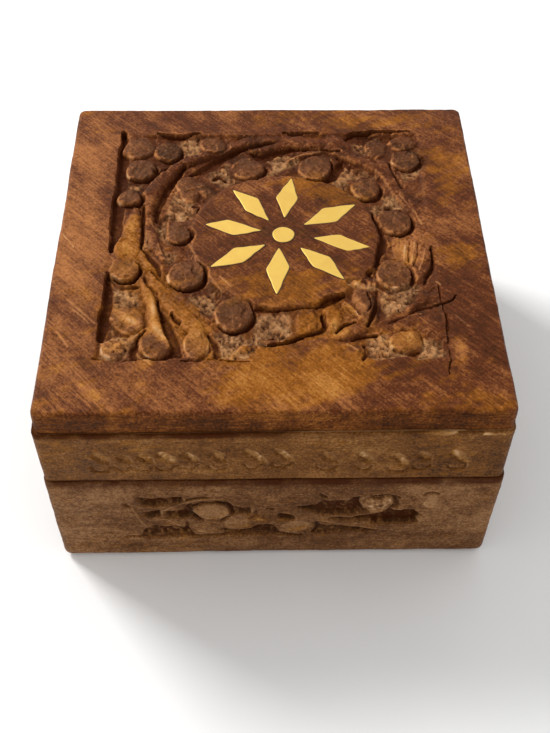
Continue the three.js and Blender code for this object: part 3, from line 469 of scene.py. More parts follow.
BAND_PATCHES = [
    ([(-33.2, 27.3), (-31, 26.8), (-23, 27.4), (-22.8, 25.3), (-25.4, 25.1), (-27.6, 23.8),
      (-31.8, 23.6)], 1.5),
    ([(-32.8, 20.2), (-30, 21.9), (-28, 22.4), (-28, 19.6), (-30.6, 19.2)], 1.5),
    ([(-26.8, 21), (-23.4, 21.4), (-20.6, 24.4), (-20.2, 21.6), (-21.4, 19.2), (-26.4, 18.9)], 1.3),
    ([(-31.6, 13.6), (-29.6, 15.4), (-27.6, 14.4), (-22, 14), (-21.2, 10.7), (-33.4, 10.6)], 1.3),
    ([(-13.4, 12.8), (-7, 12.4), (-5.6, 15), (-2.4, 15.2), (-1.2, 13.6), (0, 10.8),
      (-13.4, 10.8)], 1.4),
    ([(-11.4, 23.8), (-7, 23), (-7, 19.8), (-11, 19.2)], 1.0),
    ([(-1, 19.6), (2.6, 19.2), (3, 17.2), (-0.8, 16.9)], 1.2),
    ([(3.6, 22.8), (8.6, 23.5), (9.8, 25), (15.6, 25.8), (18.6, 27.3), (18.9, 20.4), (15.6, 19),
      (9.8, 20)], 1.6),
    ([(11.4, 17.5), (19.6, 18.4), (21.6, 19.6), (25.6, 20.6), (28.6, 21), (31.4, 20.8), (33.2, 18.8),
      (32.4, 16), (24.6, 15.1), (16.4, 16.2)], 1.9),
    ([(15.2, 13.8), (19, 12.8), (22.6, 11.5), (20.2, 10.8), (16.8, 11.8)], 1.5),
    ([(9, 14.6), (15.4, 14), (15.6, 11), (8.6, 10.8)], 0.8),
    ([(20.6, 27), (26.6, 26.8), (27.4, 22), (25.6, 20.6), (19.6, 20.4), (19.4, 24.6)], 1.2),
]

BAND_SCRATCHES = [
    [(-35.2, 25), (-34, 21), (-33.2, 17.6), (-31.8, 14.6)],
    [(-34.6, 20.2), (-30.4, 20.2), (-27, 22.2), (-22.4, 25), (-17.4, 26.4), (-13, 26.7)],
    [(-31, 17.4), (-27.4, 18), (-24, 15)],
    [(9, 16.8), (14.4, 15), (21, 13.2), (27, 12)],
    [(12, 17.6), (19, 18.6), (25, 20.6), (28.6, 21.6)],
]
BAND_SHADE_DEPTH = 1.3  # the depth at which it is darkest
BAND_SHADE = 1.4  # painted shade: how much darker the band's deepest ground is
BAND_RELIEF = 0.75  # of the depths in the band's tables
BAND_ROUGH = 0.35  # of the roughness of torn ground

# How much lighter the wood of the front is: place along it, from its middle
FRONT_TONES = {
    # the base's lighter left end is the wood's tone with a painted sheen
    "base": [(-50, 0.35), (-38, 0.3), (-20, 0.1), (10, 0.1), (30, 0.3), (50, 0.4)],
    "lid": [(-50, -0.15), (-38, -0.12), (-20, -0.1), (10, 0.1), (25, 0), (38, -0.3), (50, -0.3)],
}
FRONT_GOLD = {"base": 0.0, "lid": 0.45}

# The gouge cuts along the lid's front, from its middle: place, level, how long, and how pale
# the cut is with bare wood and painted light
ROW = [
    (-37.4, 41.5, 2.6, 0.6),
    (-32.6, 41.8, 2.0, 0.2),
    (-27.8, 41.8, 2.4, 0.6),
    (-23.4, 42.0, 2.7, 1.1),
    (-18.2, 42.1, 3.0, 0.9),
    (-11.8, 42.0, 2.6, 0.5),
    (-4.2, 42.1, 3.6, 1.2),
    (2.3, 42.3, 3.1, 1.1),
    (12.2, 41.4, 2.9, 0.5),
    (20.4, 41.3, 3.0, 1.1),
    (28.0, 40.4, 2.6, 1.3),
    (32.9, 41.3, 2.2, 0.5),
    (40.8, 41.2, 3.3, 1.2),
]
ROW_SLANT = 38
ROW_HALF_WIDTH = 0.95
ROW_DEPTH = 0.7
ROW_BESIDE = (-1.1, -0.5)  # along and up from a cut to the slit beside it
ROW_SLIT = 0.45  # the slit's half width
ROW_SLIT_DEPTH = 0.55
CURL_AT = (-0.6, -2.8)  # along and up from a cut to the middle of the curl's ring
CURL_RADIUS = 2.2
CURL_HALF_WIDTH = 0.45
CURL_DEPTH = 0.5
CURL_BELOW = 3  # only the part of the ring this far below the cut's middle is there

# The flower, each petal as it was laid by hand: outer tip, inner tip, and its two side corners
DISC_AT = (3.0, 3.4)
DISC_RADIUS = 2.6
PETALS = [
    ((21.2, 14.0), (7.9, 6.7), (13.0, 12.7), (16.1, 7.8)),
    ((5.5, 24.1), (3.4, 9.2), (1.4, 16.8), (6.9, 16.2)),
    ((-9.4, 19.7), (-0.3, 8.2), (-6.1, 12.0), (-3.0, 16.4)),
    ((-16.0, 7.2), (-2.1, 4.9), (-9.0, 3.3), (-10.4, 8.8)),
    ((-14.5, -7.4), (-1.2, 0.1), (-6.6, -5.9), (-8.8, -1.0)),
    ((1.1, -16.5), (1.9, -1.0), (4.3, -7.5), (-1.3, -8.2)),
    ((17.0, -11.8), (6.9, -1.0), (13.9, -4.3), (9.8, -7.5)),
    ((23.8, -1.1), (10.1, 2.2), (16.6, 3.3), (18.2, -2.4)),
]
INLAY_PROUD = 0.08
INLAY_EASE = 0.14
INLAY_DEPTH = 1.0
# the ring of dark glue round each inlaid piece also paints the shade of its gap
GLUE_WIDTH = 0.16
GLUE_PROUD = 0.02  # how far the glue stands above the board at the brass
GLUE_SAG = 0.01  # how much lower it is at the wood
BLUNT = 0.07  # how much of a petal's side its blunt corner takes
CROOKED = 0.12  # how far the sides stray


# Shapes in the plane


def smooth_path(points):
    """The Catmull-Rom curve through the points, with their half widths carried along it."""
    knots = np.array(points, float)
    knots = np.vstack([2 * knots[0] - knots[1], knots, 2 * knots[-1] - knots[-2]])
    curve = []
    for a, b, c, d in zip(knots, knots[1:], knots[2:], knots[3:]):
        for t in np.arange(PATH_STEPS) / PATH_STEPS:
            straight = 2 * b + (c - a) * t
            bend = (2 * a - 5 * b + 4 * c - d) * t**2 + (3 * b - a - 3 * c + d) * t**3
            curve.append((straight + bend) / 2)
    curve.append(knots[-2])
    return curve


def from_segment(x, y, start, end):
    """How far each place is from a straight line, and the share of the line up to there."""
    ax, ay = start[:2]
    dx, dy = end[0] - ax, end[1] - ay
    t = np.clip(((x - ax) * dx + (y - ay) * dy) / (dx * dx + dy * dy), 0, 1)
    return np.hypot(x - ax - t * dx, y - ay - t * dy), t


def along_path(x, y, points):
    """How far each place is from the path, in half widths, and the half width there."""
    curve = smooth_path(points)
    best = np.full(x.shape, FAR)
    width = np.full(x.shape, curve[0][2])
    for start, end in zip(curve, curve[1:]):
        distance, t = from_segment(x, y, start, end)
        half = np.maximum(start[2] + (end[2] - start[2]) * t, SLIMMEST)
        share = distance / half
        nearer = share < best
        best = np.where(nearer, share, best)
        width = np.where(nearer, half, width)
    return best, width


def in_ellipse(x, y, cx, cy, rx, ry, turn):
    """How far each place is from the ellipse's middle, in half axes."""
    a = math.radians(turn)
    across = (x - cx) * math.cos(a) + (y - cy) * math.sin(a)
    along = (y - cy) * math.cos(a) - (x - cx) * math.sin(a)
    return np.hypot(across / rx, along / ry)


def inside_outline(x, y, corners):
    """How far inside the straight-sided outline each place is, or less than 0 outside it."""
    corners = np.array(corners, float)
    nearest = np.full(x.shape, FAR)
    within = np.zeros(x.shape, bool)
    for start, end in zip(corners, np.roll(corners, -1, 0)):
        nearest = np.minimum(nearest, from_segment(x, y, start, end)[0])
        (ax, ay), (bx, by) = start, end
        if ay != by:
            within ^= ((ay > y) != (by > y)) & (x < ax + (y - ay) * (bx - ax) / (by - ay))
    return np.where(within, nearest, -nearest)


def shoulder(inside, edge):
    """Rises from 0 at an outline to 1 at a distance edge inside it, as a rounded shoulder."""
    s = np.clip(inside / edge, 0, 1)
    return np.sqrt(1 - (1 - s) ** 2)


def dome(share, half):
    """The crown of a leaf or stem: 1 in the middle, falling a little, then fast, to its outline."""
    return shoulder((1 - share) * half, CROWN_EDGE) * (1 - CROWN_FALL * share**2)


def eased(value, start, end):
    """Rises smoothly from 0 at start to 1 at end."""
    t = np.clip((value - start) / (end - start), 0, 1)
    return t * t * (3 - 2 * t)


def bell(value, middle, half):
    """1 at the middle, and falling smoothly to nearly 0 at two half lengths from it."""
    return np.exp(-(((value - middle) / half) ** 2))


def noise_cells(x, y, size):
    """Where each place is among square cells of the given size, and the cell that it is in."""
    u, v = x / size + 16 * CELLS, y / size + 16 * CELLS
    return u, v, np.floor(u).astype(int), np.floor(v).astype(int)


def facets(x, y, size, seed):
    """Small flat cuts of the given size, each sloping its own way, from -1 to 1."""
    rng = np.random.default_rng(seed)
    middles = rng.uniform(0.1, 0.9, (CELLS, CELLS, 2))
    slopes = rng.uniform(-1, 1, (CELLS, CELLS, 3))
    u, v, i, j = noise_cells(x, y, size)
    nearest = np.full(x.shape, FAR)
    value = np.zeros(x.shape)
    for a in (i - 1, i, i + 1):
        for b in (j - 1, j, j + 1):
            middle = middles[a % CELLS, b % CELLS]
            slope = slopes[a % CELLS, b % CELLS]
            du, dv = u - a - middle[..., 0], v - b - middle[..., 1]
            distance = np.hypot(du, dv)
            here = distance < nearest
            plane = slope[..., 0] * du + slope[..., 1] * dv + 0.4 * slope[..., 2]
            value = np.where(here, plane, value)
            nearest = np.where(here, distance, nearest)
    return value


def lumps(x, y, size, seed):
    """Smooth noise from -1 to 1, with lumps of the given size."""
    grid = np.random.default_rng(seed).uniform(-1, 1, (CELLS, CELLS))
    u, v, i, j = noise_cells(x, y, size)
    fu, fv = eased(u - i, 0, 1), eased(v - j, 0, 1)

    def at(a, b):
        return grid[a % CELLS, b % CELLS]

    near = at(i, j) * (1 - fu) + at(i + 1, j) * fu
    far = at(i, j + 1) * (1 - fu) + at(i + 1, j + 1) * fu
    return near * (1 - fv) + far * fv


def soften(height, rounds):
    """The height field with its sharpest edges worn down."""
    for _ in range(rounds):
        wide = np.pad(height, ((1, 1), (0, 0)), mode="edge")
        height = (wide[:-2] + 2 * height + wide[2:]) / 4
        wide = np.pad(height, ((0, 0), (1, 1)), mode="edge")
        height = (wide[:, :-2] + 2 * height + wide[:, 2:]) / 4
    return height


def on_drawing(drawing, along, up):
    """The places on a drawing that stand for the given places on the box."""
    scale, shift_along, shift_up = drawing
    return (along - shift_along) / scale, (up - shift_up) / scale


def from_drawing(drawing, places):
    """The places on the box that a drawing's own places stand for."""
    scale, shift_along, shift_up = drawing
    return np.asarray(places, float) * scale + (shift_along, shift_up)


# Carving


class Carving:
    """A face being carved: its height (0 or less), its rough ground, and how much lighter it is."""

    def __init__(self, x, y, level, seed):
        self.x = x + HAND_SWAY * lumps(x, y, 3.2, seed) + HAND_SHAKE * lumps(x, y, 0.9, seed + 4)
        self.y = y + HAND_SWAY * lumps(x, y, 3.2, seed + 1) + HAND_SHAKE * lumps(x, y, 0.9, seed + 5)
        self.straight_y = y
        self.height = level + 0.07 * lumps(x, y, 1.3, seed + 6)
        self.rough = np.zeros_like(x)
        self.lighter = np.zeros_like(x)
        # the chips of torn wood are longer one way, and lie a little askew
        chips = 0.4 * facets(x + y * 0.4, 0.6 * (y - x * 0.4), 0.8, seed + 2)
        self.chips = chips + 0.3 * lumps(x + y * 0.4, 0.7 * y, 0.8, seed + 3)
        self.ragged = 0.45 * lumps(x, y, 1.4, seed + 7)
        self.torn = 0.75 + 0.5 * lumps(x, y, 1.7, seed + 8)
        # where the leaves' rims are rubbed pale and carry their painted highlights
        self.rubbed = eased(lumps(x, y, 1.2, seed + 9), -0.6, 0.6)
        self.whittled = KNIFE_FACETS * (0.6 + facets(x, y, 2.7, seed + 10))

    def clear(self, corners, deep):
        """Clears ground between the leaves and leaves it torn."""
        share = eased(inside_outline(self.x, self.y, corners) + self.ragged, -0.45, 0.7)
        floor = np.minimum(self.chips - deep - CLEARED, 0)
        self.height = self.height + (floor - self.height) * share
        # painted light on the chips' high points and painted shade in their pits
        self.lighter = self.lighter + TORN_LIGHT_AND_SHADE * self.chips * share
        self.rough = np.maximum(self.rough, share * self.torn)

    def groove(self, points, deep):
        """Cuts a long groove that runs back along a wall and sways only from side to side."""
        share, _ = along_path(self.x, self.straight_y, points)
        self.height = np.minimum(self.height, -deep * shoulder(1 - share, 0.6))
        self.rough = np.where(share < 1, 0, self.rough)

    def crown(self, share, half, top):
        """How far each place is raised to a leaf or stem, from 0 to 1, and its height then."""
        rise = dome(share, half)
        return rise, self.height + (-top - self.whittled - self.height) * rise

    def stem(self, points, top):
        """Leaves a stem or long leaf standing where it is higher than the ground."""
        share, half = along_path(self.x, self.y, points)
        rise, body = self.crown(share, half, top)
        here = (share < 1) & (body > self.height)
        self.height = np.where(here, body, self.height)
        self.rough = np.where(here, self.rough * (1 - rise), self.rough)

    def bud(self, cx, cy, rx, ry, turn, top, hollow, darker, rim_light):
        """Leaves a round leaf standing, with a hollow beside it and a rim rubbed pale and given a
        painted highlight.
        """
        share = in_ellipse(self.x, self.y, cx, cy, rx, ry, turn)
        half = min(rx, ry)
        shift_x, shift_y, wider = HOLLOW_OFF
        shifted = in_ellipse(
            self.x, self.y, cx + shift_x, cy + shift_y, rx + wider, ry + wider, turn
        )
        floor = np.minimum(self.height, -hollow * shoulder((1 - shifted) * half, 0.9))
        self.height = np.where((shifted < 1) & (share > 0.96), floor, self.height)
        rise, body = self.crown(share, half, top)
        here = share < 1
        self.height = np.where(here, body, self.height)
        self.rough = np.where(here, self.rough * (1 - rise) + BUD_DUST * rise, self.rough)
        self.lighter = np.where(here, self.lighter - BUD_TONE * darker * rise, self.lighter)
        # the rim is rubbed pale and has a painted highlight where it faces the left front
        rim = bell(share * half, 0.93 * half, 0.28)
        away = np.maximum(np.hypot(self.x - cx, self.y - cy), 0.1)
        facing = eased((0.8 * (cx - self.x) + 0.6 * (cy - self.y)) / away, 0.2, 0.95)
        self.lighter = self.lighter + rim_light * rim * facing * self.rubbed

    def cut(self, points, deep):
        """Makes a deep smooth cut."""
        share, _ = along_path(self.x, self.y, points)
        floor = np.minimum(self.height, -deep * shoulder(1 - share, 0.7))
        self.height = np.where(share < 1, floor, self.height)
        self.rough = np.where(share < 1, 0, self.rough)


def carve(x, y, level, seed, patches, stems, buds, cuts, rim_light, grooves=()):
    """The height, roughness and lightness of a face carved as its tables say."""
    carving = Carving(x, y, level, seed)
    for patch in patches:
        carving.clear(*patch)
    for groove in grooves:
        carving.groove(*groove)
    for stem in stems:
        carving.stem(*stem)
    for bud in buds:
        carving.bud(*bud, rim_light)
    for cut in cuts:
        carving.cut(*cut)
    return np.minimum(carving.height, 0), carving.rough, carving.lighter


def scratch(x, y, rough, lighter, scratches, seed):
    """Draws thin pale lines into the roughness and the lightness of a carving."""
    for places in scratches:
        share, _ = along_path(x, y, [(px, py, SCRATCH_HALF_WIDTH) for px, py in places])
        rub = np.clip(1.4 - share, 0, 1) * (0.65 + 0.35 * lumps(x, y, 1.6, seed))
        rough = np.maximum(rough, SCRATCH_ROUGH * rub)
        lighter = lighter + SCRATCH_LIGHT * rub
    return rough, lighter


def panel_carving(x, y):
    """The carving in the board's top."""
    x, y = on_drawing(BOARD_DRAWING, x, y)
    wander = 0.3 * lumps(x, y, 9, 1) + 0.1 * lumps(x, y, 2.3, 2)
    sides = [x - PANEL["left"], PANEL["right"] - x, y - PANEL["front"], PANEL["back"] - y]
    inside = np.minimum.reduce(sides) + wander
    level = PANEL_LEVEL + 0.3 * lumps(x, y, 5, 7)
    for flush in FLUSH:
        level = level * (1 - bell(in_ellipse(x, y, *flush, 0), 0, 1))
    pad = in_ellipse(x + wander, y + wander, *MEDALLION, 0)
    level = level * eased(pad, 0.98, 1.07) * eased(inside, -0.2, 0.9)
    level = np.minimum(level, 0)
    height, rough, lighter = carve(x, y, level, 3, PATCHES, STEMS, BUDS, CUTS, BUD_RIM, GROOVES)
    chiselled = eased(-height, 0, 0.35)
    height = height + chiselled * (0.28 * facets(x, y, 2.3, 8) + 0.16 * facets(x, y, 0.9, 9))
    height = np.minimum(height, 0) * PANEL_RELIEF
    # painted shade on the sunk ground, except where it is torn
    lighter = lighter - PANEL_SHADE * eased(-height, 0, 0.5) * (1 - rough)
    rough, lighter = scratch(x + wander / 3, y, rough, lighter, SCRATCHES_AND_HIGHLIGHTS, 10)
    return height, rough, lighter


def band_carving(u, z, seed):
    """The carving in a base wall's outer face."""
    u, z = on_drawing(BAND_DRAWING, u, z)
    level = 0.06 * lumps(u, z, 5, seed) - 0.06
    tables = (BAND_PATCHES, BAND_STEMS, BAND_BUDS, BAND_CUTS)
    height, rough, lighter = carve(u, z, level, seed + 2, *tables, BAND_BUD_RIM)
    height = soften(height, 1) * BAND_RELIEF
    # painted shade that grows with depth
    lighter = lighter - BAND_SHADE * np.clip(-height / BAND_SHADE_DEPTH, 0, 1)
    rough, lighter = scratch(u, z, BAND_ROUGH * rough, lighter, BAND_SCRATCHES, seed + 9)
    return height, rough, lighter


def row_carving(u, z, seed):
    """The row of slanted gouge cuts along a lid rail, with a light curl below each."""
    u, z = on_drawing(ROW_DRAWING, u, z)
    height, rough, lighter = (np.zeros_like(u) for _ in range(3))
    uw = u + 0.5 * lumps(u, z, 1.8, seed)
    zw = z + 0.4 * lumps(u, z, 1.8, seed + 1)
    grain = 0.75 + 0.5 * lumps(u + z, z - u, 0.9, seed + 2)
    for cu, cz, half_length, bare_and_lit in ROW:
        share = in_ellipse(uw, zw, cu, cz, ROW_HALF_WIDTH, half_length, ROW_SLANT)
        beside_u, beside_z = cu + ROW_BESIDE[0], cz + ROW_BESIDE[1]
        side = in_ellipse(uw, zw, beside_u, beside_z, ROW_SLIT, 0.9 * half_length, ROW_SLANT)
        cut = shoulder(1 - share, 1.0)
        height = np.minimum(height, -ROW_DEPTH * cut)
        rough = np.maximum(rough, 0.3 * bare_and_lit * cut)
        # painted light on each gouge's lit slope, and painted shade near the slit beside it
        facing = np.clip(1 - side / 1.6, 0, 1)
        lighter = np.maximum(lighter, (0.4 + 1.9 * bare_and_lit) * cut * (1 - 0.75 * facing) * grain)
        height = np.minimum(height, -ROW_SLIT_DEPTH * np.clip(1 - side**2, 0, 1))
        ring = np.hypot(uw - cu - CURL_AT[0], zw - cz - CURL_AT[1]) - CURL_RADIUS
        curl = np.clip(1 - (ring / CURL_HALF_WIDTH) ** 2, 0, 1) * (zw < cz - CURL_BELOW)
        height = np.minimum(height, -CURL_DEPTH * curl)
    return height, rough, lighter


def hollows(height, rough):
    """How much dirt, old wax and painted shade darken each place: most in the deepest cuts."""
    near = np.clip(soften(height, 8) - height, 0, 0.6)
    deep = np.clip((-height - SHADE_AND_DIRT_DEPTH) / 0.5, 0, 1)
    rough = np.clip(rough, 0, 1)
    return near * (1 - 0.85 * rough) + 0.75 * deep * (1 - 0.8 * rough)


def rubbed_and_highlit_edges(height):
    """Where the carving has a convex edge that hands have rubbed pale and that has a painted
    highlight, from 0 to 1.
    """
    convex = np.clip((height - soften(height, 3) - 0.02) / 0.08, 0, 1)
    # the edges that face the left and the front are rubbed most and carry most of the painted
    # highlight
    down_front, down_left = np.gradient(soften(height, 2))
    steep = np.maximum(np.hypot(down_front, down_left), 0.02)
    return convex * eased((0.85 * down_left + 0.5 * down_front) / steep, 0.1, 0.9)


def tones(x, y, spots=()):
    """How much lighter, and how much more golden, the wood is at each place."""
    light = 0.25 * lumps(x, y, 13, 71) + 0.18 * lumps(x, y, 5, 72) + 0.12 * lumps(x, y, 2, 74)
    gold = 0.15 + 0.2 * lumps(x, y, 17, 73)
    for *ellipse, lighter, golder in spots:
        near = bell(in_ellipse(x, y, *ellipse), 0, 1)
        light = light + lighter * near
        gold = gold + golder * near
    # golden wood ends at a ragged line and not in a mist
    streaks = 0.3 * lumps(x + 0.5 * y, 3 * (y - 0.5 * x), 5, 75) + 0.15 * lumps(x, y, 1.2, 76)
    return light, eased(gold + streaks, 0.2, 0.75)


def rim_darkening_faded(along):
    """How much of the rim's dirt and painted shadow fades out, from 0 on the left to 1 on the right.
    """
    return eased(along, RIM_DARKENING_FADED_FROM - RIM_DARKENING_FADE_OVER, RIM_DARKENING_FADED_FROM)


# Meshes


def placed(name, data):
    """A new object in the scene."""
    thing = bpy.data.objects.new(name, data)
    bpy.context.scene.collection.objects.link(thing)
    return thing


def add_piece(name, body, node, points, faces, materials, face_materials, smooth=True, **attributes):
    """A piece of the part from points in millimetres, riding on a body in place of a CAD node."""
    mesh = bpy.data.meshes.new(name)
    mesh.from_pydata((np.asarray(points) * MM).tolist(), [], faces)
    for material in materials:
        mesh.materials.append(material)
    mesh.polygons.foreach_set("material_index", face_materials)
    for key, values in attributes.items():
        layer = mesh.attributes.new(key, "FLOAT", "POINT")
        layer.data.foreach_set("value", np.asarray(values, np.float32))
    mesh.polygons.foreach_set("use_smooth", [smooth] * len(mesh.polygons))
    mesh.update()
    if smooth:
        mesh.set_sharp_from_angle(angle=math.radians(SHARP_ANGLE))
    thing = placed(name, mesh)
    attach(thing, body)
    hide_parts(node)
    return thing


def box_mm(node):
    """A CAD node's lowest and highest corners in millimetres."""
    low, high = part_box(node)
    return np.array(low) / MM, np.array(high) / MM


def spaced(start, end, step):
    """Places from start to end, both included, no further apart than step."""
    count = max(1, math.ceil((end - start) / step))
    return np.linspace(start, end, count + 1)


def quarter_turn(steps):
    """The angles from 0 to a quarter turn, both included."""
    return np.linspace(0, math.pi / 2, steps + 1)


def grid_faces(index):
    """The four-sided faces between the rows and columns of a grid of point numbers."""
    quads = np.stack([index[:-1, :-1], index[:-1, 1:], index[1:, 1:], index[1:, :-1]], -1)
    return quads.reshape(-1, 4).tolist()


def way_out(places, core):
    """The nearest point of a rectangle round the origin, and the way and distance out from it."""
    anchor = np.clip(places, -core, core)
    out = places - anchor
    return anchor, out, np.maximum(np.hypot(*out.T), 1e-9)[:, None]


def board_top(middle, half, level):
    """The carved top as rows of points, with its numbers, roughness, lightness, dirt and painted
    shade, and wear and painted highlights.
    """
    x, y = np.meshgrid(*(spaced(m - h, m + h, FINE_STEP) for m, h in zip(middle, half)))
    height, rough, lighter = panel_carving(x, y)
    hollow = hollows(height, rough)
    # worn holds edges rubbed pale together with their painted highlights
    worn = rubbed_and_highlit_edges(height) * (x < PLAIN_EDGES_FROM)
    height = height + WAVE * lumps(x, y, 23, 11)
    droop = np.interp(y, DROOP_BACK, (0, 1)) * np.interp(x, DROOP_ALONG, (0, 1))
    height = height - DROOP * droop
    points = np.stack([x, y, level - WAVE + height], -1).reshape(-1, 3)

    # the grid's square corners are drawn in to round ones
    anchor, out, length = way_out(points[:, :2] - middle, half + BOARD_TOP_ROUND - BOARD_CORNER)
    points[:, :2] = middle + anchor + out * np.abs(out).max(1)[:, None] / length
    index = np.arange(x.size).reshape(x.shape)
    return points, index, [values.ravel() for values in (rough, lighter, hollow, worn)]


def edge_levels(rim, run, on_front, foot):
    """How far out and how high the board's edge is at each level, from its top to its underside.

    The rim is the outer points of the top, and run is how far each is along it.
    """
    edge = BOARD_TOP_ROUND
    drop = edge * (1 + 0.45 * lumps(run, 0 * run, 6, 12) + 0.2 * lumps(run, 0 * run, 1.7, 13))
    wear = LOWER_EDGE_WEAR * bell(rim[:, 0], *LOWER_EDGE_WORN) * on_front
    lower = BOARD_LOWER_ROUND * (1 + wear + 0.3 * lumps(run, 0 * run, 3, 15))
    levels = []
    for a in quarter_turn(ARC_STEPS)[1:]:
        levels.append((edge * math.sin(a), rim[:, 2] - drop * (1 - math.cos(a))))
    start, end = rim[:, 2] - drop, foot + lower
    for t in (0.33, 0.67, 1.0):
        levels.append((edge + SIDE_BULGE * math.sin(t * math.pi), start + (end - start) * t))
    for a in quarter_turn(RIM_STEPS)[1:]:
        inset = BOARD_LOWER_ROUND * (1 - math.cos(a))
        levels.append((edge - inset, foot + lower * (1 - math.sin(a))))
    return levels


def board_skirt(rim, middle, half, foot):
    """Rings of points from the top's rim down to the underside."""
    edge = BOARD_TOP_ROUND
    _, out, length = way_out(rim[:, :2] - middle, half + edge - BOARD_CORNER)
    run = np.arctan2(*(rim[:, :2] - middle).T) * RIM_REACH
    sway = WAVE * lumps(run, 0 * run, 11, 14) - WAVE
    on_front = rim[:, 1] < middle[1] - half[1] + 0.1
    rings = []
    for outward, level in edge_levels(rim, run, on_front, foot):
        reach = (outward + sway * min(1, outward / edge))[:, None]
        rings.append(np.column_stack([rim[:, :2] + out / length * reach, level]))
    return rings


def board_faces(index, loop, ring_count):
    """The board's faces and the material of each: 0 on top, 1 on the sides and 2 underneath."""
    faces = grid_faces(index)
    ids = np.vstack([loop, index.size + np.arange(ring_count * len(loop)).reshape(ring_count, -1)])
    # the point that follows the loop's last is its first
    ids = np.hstack([ids, ids[:, :1]])
    sides = np.stack([ids[:-1, :-1], ids[1:, :-1], ids[1:, 1:], ids[:-1, 1:]], -1)
    # the rounded arris is still of the top's wood
    on_top = len(faces) + (ARC_STEPS - 1) * len(loop)
    faces += sides.reshape(-1, 4).tolist()
    materials = [0] * on_top + [1] * (len(faces) - on_top) + [2]
    faces.append(ids[-1, -2::-1].tolist())
    return faces, materials


def carved_board(name, node, materials):
    """The lid's board: a height field on top, with rounded edges and a flat underside.

    The materials are those of the top, the sides and the underside.
    """
    low, high = box_mm(node)
    half = (high - low)[:2] / 2 - BOARD_TOP_ROUND
    middle = (high + low)[:2] / 2
    top, index, (rough, lighter, hollow, worn) = board_top(middle, half, high[2])
    loop = np.concatenate([index[0, :-1], index[:-1, -1], index[-1, :0:-1], index[:0:-1, 0]])
    rings = board_skirt(top[loop], middle, half, low[2])
    skirt = np.concatenate(rings)
    points = np.concatenate([top, skirt])
    faces, face_materials = board_faces(index, loop, len(rings))

    light, gold = tones(*on_drawing(BOARD_DRAWING, points[:, 0], points[:, 1]), BOARD_TONES)
    down, up = high[2] - skirt[:, 2], skirt[:, 2] - low[2]
    # painted shade on the board's sides, growing downwards from near the top
    shade = np.clip((down - SKIRT_SHADE_FROM) / SKIRT_SHADE_OVER, 0, 1)
    # dirt and painted shadow at the foot of the board's sides, less on the right of the front
    seam = np.clip(SEAM_SHADE_AND_DIRT - up / SEAM_FADE, 0, 1)
    seam = seam * (1 - 0.5 * rim_darkening_faded(skirt[:, 0]) * (skirt[:, 1] < middle[1] - half[1]))
    plain = np.zeros(len(skirt))
    board = add_piece(
        name, "lid", node, points, faces, materials, face_materials,
        light=light + np.concatenate([lighter, shade * SKIRT_LIGHT]),
        gold=gold * np.concatenate([np.ones(len(top)), 1 - SKIRT_GOLD_LOSS * shade]),
        rough=np.concatenate([rough, plain]),
        hollow=np.concatenate([hollow, seam]),
        worn=np.concatenate([worn, plain]),
    )


def wall_outline(half, thickness, shoulder_depth, rounded):
    """A wall's plan as seen from outside: places along the wall and in from its face.

    The outer places run from the left end round the face to the right end, each with the way in
    which it faces. The inner ones run back.
    """
    corner = WALL_CORNER if rounded else 0.0
    face = [(u, 0, 0, -1) for u in spaced(corner - half, half - corner, FINE_STEP)]
    if not rounded:
        return np.array(face, float), [(half, thickness), (-half, thickness)]
    left = [(-half, v, -1, 0) for v in (shoulder_depth, (corner + shoulder_depth) / 2)]
    for a in quarter_turn(ARC_STEPS)[:-1]:
        across, back = math.cos(a), math.sin(a)
        left.append((corner * (1 - across) - half, corner * (1 - back), -across, -back))
    right = [(-u, v, -face_u, face_v) for u, v, face_u, face_v in reversed(left)]
    end = half - thickness
    inner = [(end, shoulder_depth), (end, thickness), (-end, thickness), (-end, shoulder_depth)]
    return np.array(left + face + right, float), inner


def wall_levels(low, high, foot):
    """The heights of a wall's rings of points, and how far worn edges draw each ring in."""
    levels = []
    for a in quarter_turn(RIM_STEPS + 1):
        levels.append((low + foot * (1 - math.cos(a)), foot * (1 - math.sin(a))))
    levels += [(z, 0.0) for z in spaced(low + foot, high - RIM_ROUND, FINE_STEP)[1:-1]]
    for a in quarter_turn(RIM_STEPS):
        levels.append((high - RIM_ROUND * (1 - math.sin(a)), RIM_ROUND * (1 - math.cos(a))))
    return np.array(levels).T


def to_world(side, low, high, u, v):
    """Places along a wall and in from its face, as seen from outside, in the box's frame."""
    mx, my = (low[0] + high[0]) / 2, (low[1] + high[1]) / 2
    if side == "front":
        return mx + u, low[1] + v
    if side == "left":
        return low[0] + v, my - u
    return high[0] - v, my + u


def wall_face(u, z, low, high, body, on_front, carving, seed):
    """A wall's carving with chips: height, roughness, lightness, dirt and painted shade, and wear and
    painted highlights.
    """
    height, rough, lighter = carving(u, z, seed)
    hollow = hollows(height, rough)
    worn = rubbed_and_highlit_edges(height)
    # dirt and painted shadow lie along the upper rim, and dirt and painted shade a little along the
    # lid's lower one
    down, up = high - z, z - low
    rim_shade_and_dirt = np.exp(-((down / RIM_SHADE_AND_DIRT[body]) ** 4))
    if body == "lid" and on_front:
        chipped = bell(u, *CHIPPED) * eased(-down, -1.5, -0.7)
        chipped = chipped * eased(lumps(u, z, 1.8, 16), -0.2, 0.2)
        lighter = lighter + CHIP_LIGHT * chipped
        rim_shade_and_dirt = rim_shade_and_dirt * (1 - 0.8 * rim_darkening_faded(u)) * (1 - chipped)
    rim_shade_and_dirt = rim_shade_and_dirt + LOWER_RIM_SHADE_AND_DIRT[body] * bell(up, 0, LOWER_SHADE_AND_DIRT_HEIGHT)
    hollow = np.clip(hollow + rim_shade_and_dirt * (1 + 0.4 * lumps(u, z, 3, seed + 23)), 0, 1)
    return height, rough, lighter, hollow, worn


